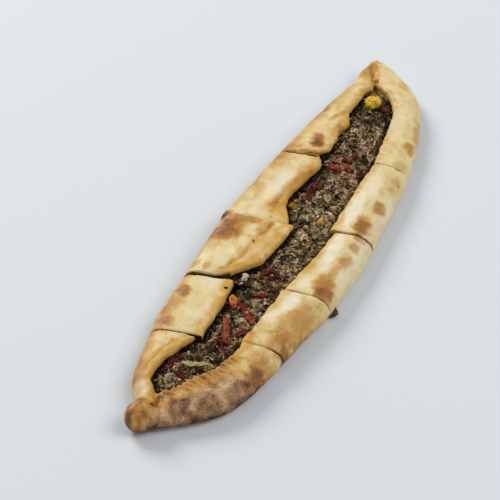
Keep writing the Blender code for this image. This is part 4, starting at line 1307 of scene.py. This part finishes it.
def shred_places(draw, spacing, lengths, widths, thickness):
    """Thin shreds of leaf or onion, lying nearly flat."""
    for spot, up in opening_places(draw, spacing, on_pieces=0.0):
        size = (draw.uniform(*lengths), draw.uniform(*widths), thickness)
        tilt = [wander(draw, amount) for amount in SHRED_TILT]
        yield spot + up * SHRED_LIFT, up, size, draw.uniform(0, math.tau), tilt, draw.random()


def leaf_places(draw):
    """Shreds of spinach, and the one stuck to the fourth slice's flap."""
    yield from shred_places(draw, spacing=4.9, lengths=(1.5, 3.2), widths=(0.9, 1.9), thickness=1.8)
    ground, up, _ = ground_at(BREADS, *STUCK_LEAF)
    spot = ground + Vector((0, 0, STUCK_LEAF_LIFT))
    yield spot, up, STUCK_LEAF_SIZE, STUCK_LEAF_TURN, (0.0, 0.0), STUCK_LEAF_TONE


def red_places(draw):
    """The small red pieces, laid on the filling where they are listed."""
    for x, y, length, width, turn, tone in RED_BITS:
        ground, up, _ = ground_at(BEDS, x, y)
        size = (length / 2, width / 2, RED_BIT_THICKNESS)
        tilt = [wander(draw, amount) for amount in RED_BIT_TILT]
        yield ground + Vector((0, 0, RED_BIT_LIFT)), up, size, math.radians(turn), tilt, tone


# ---------------------------------------------------------------- pieces

DOUGH = dough_material()
MINCE = mince_material()
SPINACH = bit_material("cooked_spinach", SPINACH_COLOURS, 0.5)
PEPPER_CHIPS = bit_material("pepper_chips", PEPPER_CHIP_COLOURS, 0.5)
ONION_SHREDS = bit_material("onion_shreds", ONION_SHRED_COLOURS, 0.38)
FINISHES = {slot: piece_material(*finish) for slot, finish in PIECE_FINISHES.items()}

chance = random.Random(11)
numbers = range(1, SLICES + 1)
BREADS, _ = tree_of([shape_bread(number) for number in numbers])
CRUSTS, _ = tree_of([frame["nodes"][f"crust_{number}"] for number in numbers])
BEDS, _ = tree_of([shape_bed(number, chance) for number in numbers])
for part in frame["record"]["subparts"]:
    if part["material_slot"] in FINISHES:
        shape_piece(part["node"], part["material_slot"])
NODES, NODE_OWNERS = tree_of([frame["nodes"][name] for name in sorted(frame["nodes"])])

small_crumbs = [crumb_shape(kind * 3.7, detail=1) for kind in range(BIT_KINDS)]
large_crumbs = [crumb_shape(kind * 2.9 + 40, detail=2) for kind in range(BIT_KINDS)]
leaves = [leaf_shape(kind * 1.9) for kind in range(BIT_KINDS)]
chips = [chip_shape(kind * 2.3) for kind in range(CHIP_KINDS)]
fine_mince = mince_places(chance, spacing=1.9, widths=(0.26, 0.48), on_pieces=0.40)
coarse_mince = mince_places(chance, spacing=4.6, widths=(0.5, 0.85), on_pieces=0.15)
onion = shred_places(chance, spacing=5.2, lengths=(1.2, 2.6), widths=(0.5, 0.9), thickness=1.2)
scatter("mince_fine", small_crumbs, fine_mince, MINCE)
scatter("mince_coarse", large_crumbs, coarse_mince, MINCE)
scatter("spinach_shreds", leaves, leaf_places(chance), SPINACH)
scatter("onion_shreds", leaves, onion, ONION_SHREDS)
scatter("pepper_chips", chips, red_places(chance), PEPPER_CHIPS)


# ---------------------------------------------------------------- stage


def make_floor():
    shape = bmesh.new()
    bmesh.ops.create_grid(shape, x_segments=1, y_segments=1, size=FLOOR_SIZE)
    mesh = bpy.data.meshes.new("floor")
    shape.to_mesh(mesh)
    shape.free()
    floor = link("floor", mesh)
    paint, _, shader = material("pale_floor", 0.7)
    shader.inputs["Base Color"].default_value = FLOOR_COLOUR
    mesh.materials.append(paint)


def aim(item, place, target):
    """Put a lamp or the camera at a place and point it at a target."""
    item.location = place
    item.rotation_euler = (target - place).to_track_quat("-Z", "Y").to_euler()


def make_lamp(name, place, size, power, colour):
    data = bpy.data.lights.new(name, "AREA")
    data.shape = "DISK"
    data.size = size
    data.energy = power
    data.color = colour
    aim(link(name, data), Vector(place), Vector((0, 0, 0)))


def make_room():
    world = bpy.data.worlds.new("soft_room")
    world.use_nodes = True
    light = world.node_tree.nodes["Background"]
    light.inputs["Color"].default_value = ROOM_COLOUR
    light.inputs["Strength"].default_value = ROOM_STRENGTH
    bpy.context.scene.world = world


def make_camera():
    data = bpy.data.cameras.new("camera")
    data.lens = CAMERA_LENS
    data.sensor_width = CAMERA_SENSOR
    data.clip_start, data.clip_end = CAMERA_RANGE
    camera = link("camera", data)
    aim(camera, Vector(CAMERA_PLACE) * MM, Vector(CAMERA_AIM) * MM)
    bpy.context.scene.camera = camera


make_floor()
make_room()
for lamp in LAMPS:
    make_lamp(*lamp)
make_camera()
bpy.context.scene.view_settings.view_transform = "Standard"
